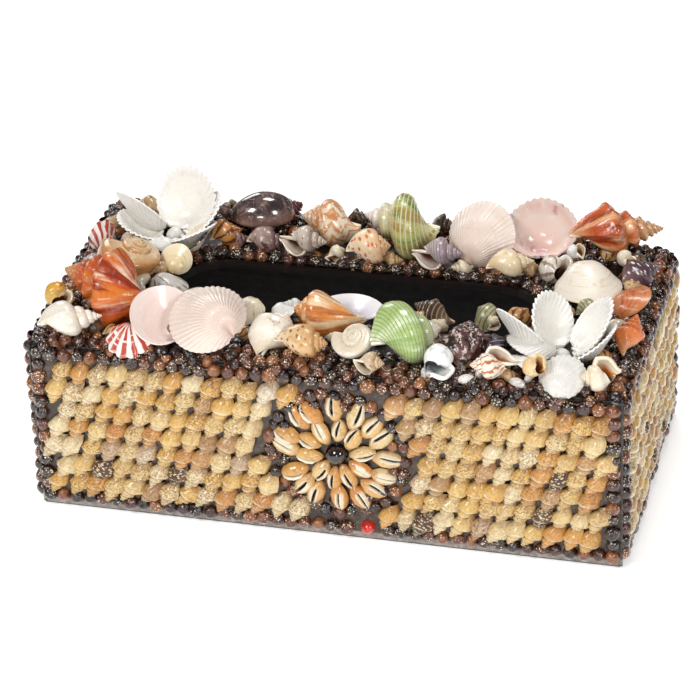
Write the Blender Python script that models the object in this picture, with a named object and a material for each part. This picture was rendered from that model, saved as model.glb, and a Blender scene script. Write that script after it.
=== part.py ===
"""A tissue-box cover glued all over with small shells, beads and a wreath of sea shells.

Metres, +Z up. The origin is at the middle of the underside. The long front faces -Y, the box is
open below and has a round-ended slot in its top.
"""

import math

import bmesh
import bpy
from mathutils import Matrix, Vector
from mathutils.bvhtree import BVHTree

# Carcass
LENGTH = 0.270
DEPTH = 0.132
HEIGHT = 0.086
BOARD = 0.004
SLOT_LENGTH = 0.172
SLOT_WIDTH = 0.046
SLOT_ARC_STEPS = 8

# Room between pieces that touch
GAP = 0.0003

# Bead rows along the edges, set wider on the two sides that are seldom seen
BEAD_PITCH = 0.0064
BACK_BEAD_PITCH = 0.0118
BEAD_RISE = 0.0036
BEAD_DIP = 0.0016
BARE_FOOT = 0.003
TOP_BEAD_ROWS = 1
SLOT_BEAD_PITCH = 0.0072
SLOT_BEAD_WIDTH = 0.0055
SLOT_BEAD_RISE = 0.0029
SLOT_RIM = 0.0012

# Fields of small snails
SNAIL_COLUMN = 0.0086
BACK_SNAIL_COLUMN = 0.0160
SNAIL_ROWS = 7
BACK_SNAIL_ROWS = 4
SNAIL_SLANT_COLUMNS = 3
SNAIL_BED = 0.0012
SNAIL_RISE = 0.0048
SNAIL_PEAK = 0.42, 0.40

# Medallion on the front: as large as fits between the bead rows with its clearance, and its
# rings as shares of its radius
BEAD_ROW_HEIGHT = (HEIGHT - BARE_FOOT) / round((HEIGHT - BARE_FOOT) / BEAD_PITCH)
MEDALLION_CLEARANCE = 0.0011
MEDALLION_RAISED_BY = 0.0010
MEDALLION_RADIUS = (HEIGHT - BARE_FOOT) / 2 - BEAD_ROW_HEIGHT - MEDALLION_CLEARANCE
MEDALLION_X = 0.0068
MEDALLION_Z = (HEIGHT + BARE_FOOT) / 2 + MEDALLION_RAISED_BY
MEDALLION_BEAD = 0.306 * MEDALLION_RADIUS
INNER_RING = 0.182 * MEDALLION_RADIUS, 0.506 * MEDALLION_RADIUS
INNER_SHELLS = 10
OUTER_RING = 0.518 * MEDALLION_RADIUS, 0.824 * MEDALLION_RADIUS
OUTER_SHELLS = 16
BEAD_RING = 0.835 * MEDALLION_RADIUS, MEDALLION_RADIUS
BEAD_RING_COUNT = 26
PETAL_RISE = 0.0052
PETAL_DIP = 0.0020

# Round beads: their height as a share of their width, and the facets of their domes
ROUND_BEAD_HEIGHT = 0.6
ROUND_BEAD_RINGS = 3
ROUND_BEAD_SIDES = 10

# Red bead in the lower border
RED_BEAD_X = 0.0198
RED_BEAD_Z = 0.0072
RED_BEAD = 0.0066

# Wreath: one step that a shell is lifted by until it is clear of what it lies on
LIFT_STEP = 0.0004
MOST_LIFT_STEPS = 120

# Valves: wall, where the growth levels are, facets, how far the edge turns to each side in
# degrees, and how far a rib stands out as a share of the valve's reach
VALVE_WALL = 0.0012
VALVE_LEVELS = 0.34, 0.70, 1.0
PETAL_LEVELS = 0.5, 1.0
PLAIN_VALVE_COLUMNS = 6
VALVE_SPREAD = 80
PETAL_SPREAD = 70
RIB_HEIGHT = 0.06

# Coiled shells: facets, whorls of long and of short ones, how far the shoulder lies under its
# suture for growth over 1, its reach, and where the base begins along the last whorl
SPIRAL_SIDES = 6
LONG_SHELL = 0.024
WHORL_COUNT_LONG = 3
WHORL_COUNT_SHORT = 2
SHOULDER_DROP = 0.35
SHOULDER_REACH = 0.94
BASE_START = 0.68

# Egg-shaped shells: facets
PEBBLE_RINGS = 4
PEBBLE_SIDES = 9

# The dome of glue that holds a flower's petals
FLOWER_HEART = 0.0075
FLOWER_HEART_HEIGHT = 0.006
FLOWER_HEART_RINGS = 2
FLOWER_HEART_SIDES = 8
PETAL_FOOT = 0.0026

BOARD_BLACK = (0.020, 0.016, 0.015)
BEAD_BROWN = (0.045, 0.024, 0.016)
SNAIL_GOLD = (0.56, 0.36, 0.16)
CREAM = (0.78, 0.66, 0.48)
WHITE = (0.84, 0.81, 0.77)
PINK = (0.82, 0.60, 0.54)
ORANGE = (0.62, 0.20, 0.05)
TAN = (0.60, 0.38, 0.20)
GREEN = (0.34, 0.42, 0.13)
PLUM = (0.11, 0.05, 0.055)
RED = (0.45, 0.05, 0.035)
GREY = (0.36, 0.32, 0.31)


def clear_scene():
    for old in list(bpy.data.objects):
        bpy.data.objects.remove(old, do_unlink=True)


def finish(name, colour, roughness=0.35, metallic=0.0):
    """A plain coloured material, made once for each name."""
    made = bpy.data.materials.get(name)
    if made:
        return made
    made = bpy.data.materials.new(name)
    made.use_nodes = True
    shader = made.node_tree.nodes["Principled BSDF"]
    shader.inputs["Base Color"].default_value = (*colour, 1.0)
    shader.inputs["Roughness"].default_value = roughness
    shader.inputs["Metallic"].default_value = metallic
    made.diffuse_color = (*colour, 1.0)
    return made


def add_object(name, shape, material, smooth_below=0.6):
    """Turns a bmesh into an object whose faces all point out."""
    bmesh.ops.recalc_face_normals(shape, faces=shape.faces[:])
    if shape.calc_volume(signed=True) < 0:
        bmesh.ops.reverse_faces(shape, faces=shape.faces[:])
    mesh = bpy.data.meshes.new(name)
    shape.to_mesh(mesh)
    shape.free()
    mesh.shade_smooth()
    mesh.set_sharp_from_angle(angle=smooth_below)
    made = bpy.data.objects.new(name, mesh)
    made.data.materials.append(material)
    bpy.context.scene.collection.objects.link(made)
    return made


def cut(target, cutter):
    """Subtracts the cutter from the target and hides the cutter."""
    cutter.hide_render = True
    cutter.display_type = "WIRE"
    modifier = target.modifiers.new("cut " + cutter.name, "BOOLEAN")
    modifier.operation = "DIFFERENCE"
    modifier.solver = "EXACT"
    modifier.object = cutter


def stadium_point(along, length, width, out=0.0):
    """Point and outward direction at a share of the way round a slot outline."""
    radius = width / 2
    straight = length - width
    arc = math.pi * radius
    distance = (along % 1.0) * (2 * straight + 2 * arc)
    if distance < straight:
        point = Vector((distance - straight / 2, -radius, 0))
        outward = Vector((0, -1, 0))
    elif distance < straight + arc:
        angle = (distance - straight) / radius - math.pi / 2
        outward = Vector((math.cos(angle), math.sin(angle), 0))
        point = Vector((straight / 2, 0, 0)) + outward * radius
    elif distance < 2 * straight + arc:
        point = Vector((straight / 2 - (distance - straight - arc), radius, 0))
        outward = Vector((0, 1, 0))
    else:
        angle = (distance - 2 * straight - arc) / radius + math.pi / 2
        outward = Vector((math.cos(angle), math.sin(angle), 0))
        point = Vector((-straight / 2, 0, 0)) + outward * radius
    return point + outward * out


def box_shape(low, high):
    shape = bmesh.new()
    bmesh.ops.create_cube(shape, size=1.0)
    size = Vector(high) - Vector(low)
    middle = (Vector(high) + Vector(low)) / 2
    for vert in shape.verts:
        vert.co = Vector(vert.co[i] * size[i] for i in range(3)) + middle
    return shape


def slot_shape():
    """The slot's outline, extruded through the top board."""
    shape = bmesh.new()
    radius = SLOT_WIDTH / 2
    ring = []
    for end, start in ((1, -math.pi / 2), (-1, math.pi / 2)):
        for step in range(SLOT_ARC_STEPS + 1):
            angle = start + math.pi * step / SLOT_ARC_STEPS
            x = end * (SLOT_LENGTH - SLOT_WIDTH) / 2 + radius * math.cos(angle)
            ring.append(shape.verts.new((x, radius * math.sin(angle), HEIGHT - 2 * BOARD)))
    face = shape.faces.new(ring)
    raised = bmesh.ops.extrude_face_region(shape, geom=[face])["geom"]
    lift = Vector((0, 0, 3 * BOARD))
    bmesh.ops.translate(shape, vec=lift, verts=[v for v in raised if isinstance(v, bmesh.types.BMVert)])
    return shape


def build_carcass():
    material = finish("black board", BOARD_BLACK, 0.45)
    half_x = LENGTH / 2
    half_y = DEPTH / 2
    body = add_object("box_body", box_shape((-half_x, -half_y, 0), (half_x, half_y, HEIGHT)), material)
    room_low = (-half_x + BOARD, -half_y + BOARD, -BOARD)
    room_high = (half_x - BOARD, half_y - BOARD, HEIGHT - BOARD)
    cut(body, add_object("cutter_room", box_shape(room_low, room_high), material))
    cut(body, add_object("cutter_slot", slot_shape(), material))


# Each side, how wide it is and how its beads are spaced
SIDES = (
    ("front", LENGTH, BEAD_PITCH),
    ("right", DEPTH, BEAD_PITCH),
    ("back", LENGTH, BACK_BEAD_PITCH),
    ("left", DEPTH, BACK_BEAD_PITCH),
)


def face_places():
    """How (along, up, out) maps to space on each of the four sides and the top."""
    half_x = LENGTH / 2 + GAP
    half_y = DEPTH / 2 + GAP
    top = HEIGHT + GAP
    return {
        "front": lambda u, v, out: Vector((u, -half_y - out, v)),
        "back": lambda u, v, out: Vector((-u, half_y + out, v)),
        "right": lambda u, v, out: Vector((half_x + out, u, v)),
        "left": lambda u, v, out: Vector((-half_x - out, -u, v)),
        "top": lambda u, v, out: Vector((u, v, top + out)),
    }


def bead_cells(cells, columns, corner, rise, dip, wrap=False):
    """A closed string of low beads, one for each (column, row) cell.

    Each bead is a fan from its raised middle to its corners, which lie on the surface, and to the
    shallow dips that it shares with its neighbours.
    """
    shape = bmesh.new()
    made = {}
    kept = set(cells)

    def fold(column):
        return column % columns if wrap else column

    def vert(column, row, out):
        key = (round(fold(column) * 2), round(row * 2), out > 0)
        if key not in made:
            made[key] = shape.verts.new(corner(column, row, out))
        return made[key]

    sides = (((0, 0), (1, 0), (0, -1)), ((1, 0), (1, 1), (1, 0)), ((1, 1), (0, 1), (0, 1)), ((0, 1), (0, 0), (-1, 0)))
    for column, row in cells:
        middle = shape.verts.new(corner(column + 0.5, row + 0.5, rise))
        rim = []
        for (ax, ay), (bx, by), (nx, ny) in sides:
            rim.append(vert(column + ax, row + ay, 0.0))
            if (fold(column + nx), row + ny) in kept:
                rim.append(vert(column + (ax + bx) / 2, row + (ay + by) / 2, dip))
        for first, second in zip(rim, rim[1:] + rim[:1]):
            shape.faces.new((middle, first, second))
        base = [vert(column + ax, row + ay, 0.0) for (ax, ay), _, _ in sides]
        shape.faces.new(base[::-1])
    return shape


def bead_counts(width, pitch):
    """Columns and rows of beads on a side: whole numbers nearest the pitch."""
    return round(width / pitch), round((HEIGHT - BARE_FOOT) / pitch)


def build_bead_borders():
    """One frame of beads on each side, one round the top and one round the slot."""
    material = finish("dark glossy bead", BEAD_BROWN, 0.12)
    places = face_places()
    for face, width, pitch in SIDES:
        columns, rows = bead_counts(width, pitch)
        step_u = width / columns
        step_v = (HEIGHT - BARE_FOOT) / rows
        place = places[face]

        def corner(column, row, out):
            return place(column * step_u - width / 2, BARE_FOOT + row * step_v, out)

        cells = [
            (column, row)
            for column in range(columns)
            for row in range(rows)
            if column in (0, columns - 1) or row in (0, rows - 1)
        ]
        if face == "front":
            cells = [cell for cell in cells if not is_under_red_bead(cell, step_u, step_v)]
        add_object("beads_" + face, bead_cells(cells, columns, corner, BEAD_RISE, BEAD_DIP), material)

    columns = round(LENGTH / BEAD_PITCH)
    rows = round(DEPTH / BEAD_PITCH)
    place = places["top"]

    def top_corner(column, row, out):
        return place(column * LENGTH / columns - LENGTH / 2, row * DEPTH / rows - DEPTH / 2, out)

    cells = [
        (column, row)
        for column in range(columns)
        for row in range(rows)
        if min(column, columns - 1 - column, row, rows - 1 - row) < TOP_BEAD_ROWS
    ]
    add_object("beads_top_edge", bead_cells(cells, columns, top_corner, BEAD_RISE, BEAD_DIP), material)

    length = SLOT_LENGTH + 2 * SLOT_RIM
    width = SLOT_WIDTH + 2 * SLOT_RIM
    around = 2 * (length - width) + math.pi * width
    count = round(around / SLOT_BEAD_PITCH)

    def slot_corner(column, row, out):
        point = stadium_point(column / count, length, width, row * SLOT_BEAD_WIDTH)
        return point + Vector((0, 0, HEIGHT + GAP + out))

    cells = [(column, 0) for column in range(count)]
    shape = bead_cells(cells, count, slot_corner, SLOT_BEAD_RISE, BEAD_DIP, wrap=True)
    add_object("beads_slot", shape, material)


def is_under_red_bead(cell, step_u, step_v):
    """The red bead takes the place of the dark beads that it covers."""
    first = int((RED_BEAD_X - RED_BEAD / 2 + LENGTH / 2) / step_u)
    last = int((RED_BEAD_X + RED_BEAD / 2 + LENGTH / 2) / step_u)
    row = int((RED_BEAD_Z - BARE_FOOT) / step_v)
    return first <= cell[0] <= last and cell[1] == row


def snail_field(name, low, high, bottom, top, place, material, pitch=SNAIL_COLUMN, rows=SNAIL_ROWS):
    """A slab of small snails whose columns lean, one four-sided peak for each snail."""
    shape = bmesh.new()
    columns = max(2, round((high - low) / pitch))
    shift = SNAIL_SLANT_COLUMNS / rows
    made = {}

    def vert(column, row, out):
        column = min(max(column, 0.0), float(columns))
        key = (round(column * 1000), row, out > 0)
        if key not in made:
            u = low + (high - low) * column / columns
            v = bottom + (top - bottom) * row / rows
            made[key] = shape.verts.new(place(u, v, out))
        return made[key]

    for row in range(rows):
        for column in range(-SNAIL_SLANT_COLUMNS, columns):
            ring = []
            for step, rise in ((0, 0), (1, 0), (1, 1), (0, 1)):
                point = vert(column + step + shift * (row + rise), row + rise, SNAIL_BED)
                if point not in ring:
                    ring.append(point)
            if len(ring) < 3:
                continue
            middle = sum((point.co for point in ring), Vector()) / len(ring)
            foot = place(0, 0, 0)
            out = place(0, 0, 1) - foot
            away = (SNAIL_RISE - SNAIL_BED) * out
            lean = (SNAIL_PEAK[1] - 0.5) * (top - bottom) / rows
            aside = (SNAIL_PEAK[0] - 0.5) * (high - low) / columns
            nudge = place(aside, lean, 0) - foot
            peak = shape.verts.new(middle + away + (nudge if len(ring) == 4 else Vector()))
            for first, second in zip(ring, ring[1:] + ring[:1]):
                shape.faces.new((peak, first, second))
    for column in range(columns):
        back = [vert(column, 0, 0), vert(column, rows, 0), vert(column + 1, rows, 0), vert(column + 1, 0, 0)]
        shape.faces.new(back)
        for row in (0, rows):
            edge = [vert(column, row, SNAIL_BED), vert(column + 1, row, SNAIL_BED)]
            shape.faces.new(edge + [vert(column + 1, row, 0), vert(column, row, 0)])
    for column in (0, columns):
        foot = vert(column, 0, 0)
        for row in range(rows):
            shape.faces.new((foot, vert(column, row, SNAIL_BED), vert(column, row + 1, SNAIL_BED)))
        shape.faces.new((foot, vert(column, rows, SNAIL_BED), vert(column, rows, 0)))
    return add_object(name, shape, material)


def build_snail_fields():
    """Each field fills its side inside the bead frame; the front's leaves room for the medallion."""
    material = finish("golden snail", SNAIL_GOLD, 0.3)
    places = face_places()
    for face, width, bead_pitch in SIDES:
        columns, rows = bead_counts(width, bead_pitch)
        end = width / 2 - width / columns - GAP
        bottom = BARE_FOOT + (HEIGHT - BARE_FOOT) / rows + GAP
        top = HEIGHT - (HEIGHT - BARE_FOOT) / rows - GAP
        reach = BEAD_RING[1] + GAP
        extents = {"snails_" + face: (-end, end)}
        if face == "front":
            extents = {
                "snails_front_left": (-end, MEDALLION_X - reach),
                "snails_front_right": (MEDALLION_X + reach, end),
            }
        wide = bead_pitch == BACK_BEAD_PITCH
        pitch, snail_rows = (BACK_SNAIL_COLUMN, BACK_SNAIL_ROWS) if wide else (SNAIL_COLUMN, SNAIL_ROWS)
        for name, (low, high) in extents.items():
            snail_field(name, low, high, bottom, top, places[face], material, pitch, snail_rows)


def dome(radius, height, rings, sides):
    """A low dome on a flat foot, about the Z axis."""
    shape = bmesh.new()
    levels = []
    for ring in range(rings):
        angle = math.pi / 2 * ring / rings
        reach = radius * math.cos(angle)
        level = height * math.sin(angle)
        around = [2 * math.pi * side / sides for side in range(sides)]
        levels.append([shape.verts.new((reach * math.cos(a), reach * math.sin(a), level)) for a in around])
    tip = shape.verts.new((0, 0, height))
    for low, high in zip(levels, levels[1:]):
        for side in range(sides):
            other = (side + 1) % sides
            shape.faces.new((low[side], low[other], high[other], high[side]))
    for side in range(sides):
        shape.faces.new((levels[-1][side], levels[-1][(side + 1) % sides], tip))
    shape.faces.new(levels[0][::-1])
    return shape


def build_medallion():
    """A black bead, two rings of cream shells laid like petals and a ring of dark beads."""
    shell = finish("cream petal shell", CREAM, 0.3)
    bead = finish("dark glossy bead", BEAD_BROWN, 0.12)
    place = face_places()["front"]

    def ring_corner(inner, outer, count):
        def corner(column, row, out):
            angle = 2 * math.pi * column / count
            radius = inner + (outer - inner) * row
            return place(MEDALLION_X + radius * math.cos(angle), MEDALLION_Z + radius * math.sin(angle), out)

        return corner

    for name, ring, count, rise, dip, material in (
        ("medallion_inner_shells", INNER_RING, INNER_SHELLS, PETAL_RISE, PETAL_DIP, shell),
        ("medallion_outer_shells", OUTER_RING, OUTER_SHELLS, PETAL_RISE, PETAL_DIP, shell),
        ("medallion_beads", BEAD_RING, BEAD_RING_COUNT, BEAD_RISE, BEAD_DIP, bead),
    ):
        cells = [(column, 0) for column in range(count)]
        shape = bead_cells(cells, count, ring_corner(*ring, count), rise, dip, wrap=True)
        add_object(name, shape, material)

    facing = Matrix.Rotation(math.pi / 2, 4, "X")
    for name, x, z, size, material in (
        ("medallion_centre_bead", MEDALLION_X, MEDALLION_Z, MEDALLION_BEAD, bead),
        ("red_bead", RED_BEAD_X, RED_BEAD_Z, RED_BEAD, finish("red bead", RED, 0.25)),
    ):
        shape = dome(size / 2, size * ROUND_BEAD_HEIGHT, ROUND_BEAD_RINGS, ROUND_BEAD_SIDES)
        bmesh.ops.transform(shape, matrix=Matrix.Translation(place(x, z, 0)) @ facing, verts=shape.verts[:])
        add_object(name, shape, material)


def spiral_shell(length, width, spire, growth, belly, foot):
    """A right-handed coiled shell about the X axis, its apex at +X and its mouth at the seam.

    Each whorl has a suture and a shoulder, and grows by the same factor on every turn. The last
    whorl goes on over its belly and base to the tip of the canal.
    """
    shape = bmesh.new()
    whorls = WHORL_COUNT_LONG if length > LONG_SHELL else WHORL_COUNT_SHORT
    radius = width / (1 + growth**-0.5)
    apex = shape.verts.new((length / 2, 0, 0))
    tip = shape.verts.new((-length / 2, 0, 0))

    def vert(distance, reach, turn):
        angle = 2 * math.pi * turn
        return shape.verts.new((length / 2 - distance, reach * math.cos(angle), -reach * math.sin(angle)))

    def upper(scale, turn):
        suture = spire * length * scale
        shoulder = suture * (1 + SHOULDER_DROP * (growth - 1))
        return [vert(suture, radius * scale / growth, turn), vert(shoulder, radius * scale * SHOULDER_REACH, turn)]

    def lower(scale, turn):
        start = spire * length * scale
        rest = length - start
        base_reach = radius * foot * scale**0.5
        return [vert(start + rest * belly, radius * scale, turn), vert(start + rest * BASE_START, base_reach, turn)]

    columns = []
    for side in range(SPIRAL_SIDES):
        turn = side / SPIRAL_SIDES
        column = []
        for whorl in range(whorls):
            column += upper(growth ** (whorl - whorls + turn), turn)
        columns.append(column + lower(growth ** (turn - 1), turn))
    first = columns[0]
    lip = upper(1.0, 0.0) + lower(1.0, 0.0)
    columns.append(first[2 : 2 * whorls] + lip)
    for left, right in zip(columns, columns[1:]):
        shape.faces.new((apex, left[0], right[0]))
        for row in range(len(left) - 1):
            shape.faces.new((left[row], left[row + 1], right[row + 1], right[row]))
        shape.faces.new((left[-1], tip, right[-1]))
    shape.faces.new((apex, first[1], first[0]))
    shape.faces.new((apex, first[2], first[1]))
    mouth = [first[2 * whorls - 1]] + lip + [tip, first[-1], first[-2]]
    shape.faces.new(mouth)
    return shape


def valve(length, width, depth, ribs=0, levels=VALVE_LEVELS, spread=VALVE_SPREAD):
    """One cupped valve, its beak at -X, its edge at +X and its hollow side down.

    With ribs, the columns run along ridges and grooves in turn, which also scallop the edge. The
    powers below round the outline and set how full the cup is near the beak.
    """
    shape = bmesh.new()
    columns = 2 * ribs if ribs else PLAIN_VALVE_COLUMNS
    beak = shape.verts.new((-length / 2, 0, 0.10 * depth))
    rows = []
    for level in levels:
        row = []
        for column in range(columns + 1):
            angle = math.radians(spread) * (2 * column / columns - 1)
            ridge = 1 + (RIB_HEIGHT * level if column % 2 else 0)
            reach = length * math.cos(angle) ** 0.8 * level * ridge
            x = reach * math.cos(angle) - length / 2
            y = reach * math.sin(angle) * width / length
            z = depth * math.sin(math.pi * level**0.62) * math.cos(angle) ** 0.3 * ridge
            row.append(shape.verts.new((x, y, z)))
        rows.append(row)
    for column in range(columns):
        shape.faces.new((beak, rows[0][column], rows[0][column + 1]))
        for low, high in zip(rows, rows[1:]):
            shape.faces.new((low[column], high[column], high[column + 1], low[column + 1]))
    bmesh.ops.recalc_face_normals(shape, faces=shape.faces[:])
    if sum((face.normal.z for face in shape.faces)) < 0:
        bmesh.ops.reverse_faces(shape, faces=shape.faces[:])
    bmesh.ops.solidify(shape, geom=shape.faces[:], thickness=VALVE_WALL)
    return shape


def pebble(length, width, height, sharp=0.0):
    """An egg-shaped closed shell, flat below, with a pointed end at -X if sharp is over 0."""
    shape = dome(0.5, 1.0, PEBBLE_RINGS, PEBBLE_SIDES)
    for vert in shape.verts:
        x, y, z = vert.co
        taper = 1 - sharp * max(0.0, -x * 2) ** 1.5
        vert.co = Vector((x * length, y * width * taper, z * height * (0.4 + 0.6 * taper)))
    return shape


def turned(shape, heading, pitch=0, roll=0):
    """Rolls a shell about its own axis, tips its +X end up and turns it to its heading."""
    spin = Matrix.Rotation(math.radians(heading), 4, "Z")
    tip = Matrix.Rotation(math.radians(-pitch), 4, "Y")
    own = Matrix.Rotation(math.radians(roll), 4, "X")
    bmesh.ops.transform(shape, matrix=spin @ tip @ own, verts=shape.verts[:])
    return shape


def tree_of(shape, lift=0.0, grow=0.0):
    """A search tree of the shape, lifted and grown by a margin all round."""
    points = [vert.co.copy() for vert in shape.verts]
    low = Vector(min(point[i] for point in points) for i in range(3))
    high = Vector(max(point[i] for point in points) for i in range(3))
    middle = (low + high) / 2
    factor = Vector(1 + 2 * grow / max(high[i] - low[i], 1e-6) for i in range(3))
    moved = []
    for point in points:
        away = point - middle
        moved.append(middle + Vector(away[i] * factor[i] for i in range(3)) + Vector((0, 0, lift)))
    faces = [[vert.index for vert in face.verts] for face in shape.faces]
    return BVHTree.FromPolygons(moved, faces)


class Wreath:
    """Lays shells on the top board, each as low as it goes without cutting into the others."""

    def __init__(self):
        self.laid = []
        for name in ("beads_top_edge", "beads_slot"):
            beads = bmesh.new()
            beads.from_mesh(bpy.data.objects[name].data)
            beads.verts.index_update()
            self.laid.append(tree_of(beads))
            beads.free()

    def lay(self, name, shape, across, along, material):
        """Places the shape at shares of the half length and half depth, then settles it."""
        shape.verts.index_update()
        lowest = min(vert.co.z for vert in shape.verts)
        place = Vector((across * LENGTH / 2, along * DEPTH / 2, HEIGHT + GAP - lowest))
        bmesh.ops.translate(shape, vec=place, verts=shape.verts[:])
        steps = 0
        while steps < MOST_LIFT_STEPS and self.meets(tree_of(shape, steps * LIFT_STEP, GAP)):
            steps += 1
        bmesh.ops.translate(shape, vec=Vector((0, 0, steps * LIFT_STEP)), verts=shape.verts[:])
        self.laid.append(tree_of(shape))
        add_object(name, shape, material, smooth_below=0.9)

    def meets(self, tree):
        return any(tree.overlap(other) for other in self.laid)


def flower(petals):
    """Cockle valves set round a small dome of clear glue, fused where their beaks sink in it."""
    material = finish("white cockle", WHITE, 0.3)
    heart = dome(FLOWER_HEART, FLOWER_HEART_HEIGHT, FLOWER_HEART_RINGS, FLOWER_HEART_SIDES)
    core = add_object("flower_heart", heart, material)
    helpers = []
    for number, (side, out, length, width, depth, heading, pitch, roll) in enumerate(petals):
        petal = valve(length, width, depth, levels=PETAL_LEVELS, spread=PETAL_SPREAD)
        bmesh.ops.translate(petal, vec=Vector((length / 2, 0, 0)), verts=petal.verts[:])
        turned(petal, heading, pitch, roll)
        beak = Vector((side, out, PETAL_FOOT))
        bmesh.ops.translate(petal, vec=beak, verts=petal.verts[:])
        helper = add_object("flower_petal_%d" % number, petal, material)
        helpers.append(helper)
        join = core.modifiers.new("join " + helper.name, "BOOLEAN")
        join.operation = "UNION"
        join.solver = "EXACT"
        join.object = helper
    graph = bpy.context.evaluated_depsgraph_get()
    fused = bmesh.new()
    fused.from_mesh(core.evaluated_get(graph).to_mesh())
    for helper in helpers + [core]:
        bpy.data.objects.remove(helper, do_unlink=True)
    bmesh.ops.dissolve_limit(fused, angle_limit=0.02, verts=fused.verts[:], edges=fused.edges[:])
    bmesh.ops.triangulate(fused, faces=fused.faces[:])
    return fused


# The two flowers' petals: where the beak is from the middle, length, width, depth of the cup,
# heading, pitch and roll
FRONT_FLOWER = (
    (-0.006, 0.001, 0.0280, 0.0240, 0.0060, 172, 34, 225),
    (-0.003, 0.003, 0.0300, 0.0240, 0.0060, 108, 56, 222),
    (0.004, 0.003, 0.0300, 0.0270, 0.0065, 24, 50, 175),
    (0.005, 0.000, 0.0250, 0.0240, 0.0060, -10, 38, 180),
    (-0.002, -0.004, 0.0220, 0.0210, 0.0055, 176, 16, 15),
)
BACK_FLOWER = (
    (0.003, 0.000, 0.0300, 0.0270, 0.0065, 82, 62, 180),
    (0.004, -0.001, 0.0260, 0.0250, 0.0060, 18, 42, 180),
    (-0.005, 0.002, 0.0280, 0.0240, 0.0060, 179, 34, 225),
    (-0.005, -0.002, 0.0240, 0.0230, 0.0060, -158, 24, 180),
    (0.004, -0.004, 0.0210, 0.0220, 0.0060, -30, 28, 180),
)

# Growth for each turn, where the belly is and how wide the base stays
WHELK = 1.50, 0.24, 0.58
SNAIL = 1.60, 0.38, 0.74
TURBAN = 1.80, 0.46, 0.86

# Coiled shells: name, form, place as shares of half the length and depth, length, width, spire
# share, heading of the apex, pitch, roll, colour name and colour
COILED = (
    ("whelk_white", SNAIL, -0.882, -0.905, 0.0300, 0.0170, 0.38, 32, 2, 200, "cream shell", CREAM),
    ("periwinkle_mustard", SNAIL, -0.965, -0.600, 0.0180, 0.0125, 0.32, 104, 20, 60, "tan shell", TAN),
    ("whelk_orange_large", WHELK, -0.822, -0.470, 0.0530, 0.0335, 0.50, 158, -2, 40, "orange shell", ORANGE),
    ("snail_cream_front", TURBAN, -0.190, -0.745, 0.0260, 0.0200, 0.25, 82, 24, 60, "cream shell", CREAM),
    ("conch_speckled", WHELK, -0.075, -0.870, 0.0245, 0.0150, 0.30, 15, 2, 90, "tan shell", TAN),
    ("conch_orange", WHELK, -0.025, -0.520, 0.0340, 0.0205, 0.26, 178, 0, 120, "orange shell", ORANGE),
    ("turban_green_front", TURBAN, 0.266, -0.730, 0.0350, 0.0290, 0.38, 38, -2, 30, "green shell", GREEN),
    ("snail_small_front", SNAIL, 0.170, -1.000, 0.0155, 0.0105, 0.36, -10, 4, 0, "cream shell", CREAM),
    ("snail_white_ring", TURBAN, 0.393, -0.980, 0.0170, 0.0155, 0.24, 62, 10, 170, "white shell", WHITE),
    ("murex_purple", WHELK, 0.460, -0.670, 0.0290, 0.0180, 0.40, 96, 20, 200, "plum shell", PLUM),
    ("snail_dark_ribbed", WHELK, 0.300, -0.225, 0.0235, 0.0125, 0.42, 156, 4, 0, "plum shell", PLUM),
    ("snail_orange_striped", SNAIL, 0.575, -0.925, 0.0215, 0.0145, 0.34, -150, 2, 120, "cream shell", CREAM),
    ("snail_tan_mouth", SNAIL, 0.712, -0.945, 0.0125, 0.0105, 0.30, 150, 2, 0, "tan shell", TAN),
    ("periwinkle_orange_mouth", SNAIL, 0.930, -0.900, 0.0185, 0.0150, 0.30, -150, 2, 150, "cream shell", CREAM),
    ("whelk_orange_small", WHELK, 0.975, -0.360, 0.0215, 0.0135, 0.44, 80, 34, 0, "orange shell", ORANGE),
    ("snail_mottled", SNAIL, 0.940, 0.480, 0.0205, 0.0145, 0.42, 42, 14, 0, "plum shell", PLUM),
    ("snail_grey_mouth", TURBAN, 0.645, 0.445, 0.0175, 0.0160, 0.28, 130, 6, 60, "cream shell", CREAM),
    ("snail_cream_suture", SNAIL, 0.495, 0.415, 0.0235, 0.0135, 0.36, 28, 0, 60, "cream shell", CREAM),
    ("whelk_lilac", SNAIL, 0.228, 0.455, 0.0245, 0.0150, 0.40, 14, 2, 100, "grey shell", GREY),
    ("turban_green_back", TURBAN, 0.088, 0.715, 0.0370, 0.0300, 0.38, 172, 0, 160, "green shell", GREEN),
    ("cone_spotted", SNAIL, -0.003, 0.420, 0.0215, 0.0165, 0.28, 25, 0, 60, "cream shell", CREAM),
    ("whelk_zigzag", SNAIL, -0.180, 0.755, 0.0310, 0.0225, 0.40, 172, 0, 100, "tan shell", TAN),
    ("whelk_dotted", SNAIL, -0.240, 0.475, 0.0240, 0.0150, 0.42, -162, 0, 180, "grey shell", GREY),
    ("snail_amber", SNAIL, -0.530, 0.540, 0.0170, 0.0140, 0.36, 40, 4, 60, "tan shell", TAN),
    ("snail_net_patterned", SNAIL, -0.850, 0.800, 0.0200, 0.0130, 0.42, -156, 10, 0, "tan shell", TAN),
    ("whelk_orange_back", WHELK, 0.822, 0.870, 0.0460, 0.0240, 0.50, 24, -2, 60, "orange shell", ORANGE),
)

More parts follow.
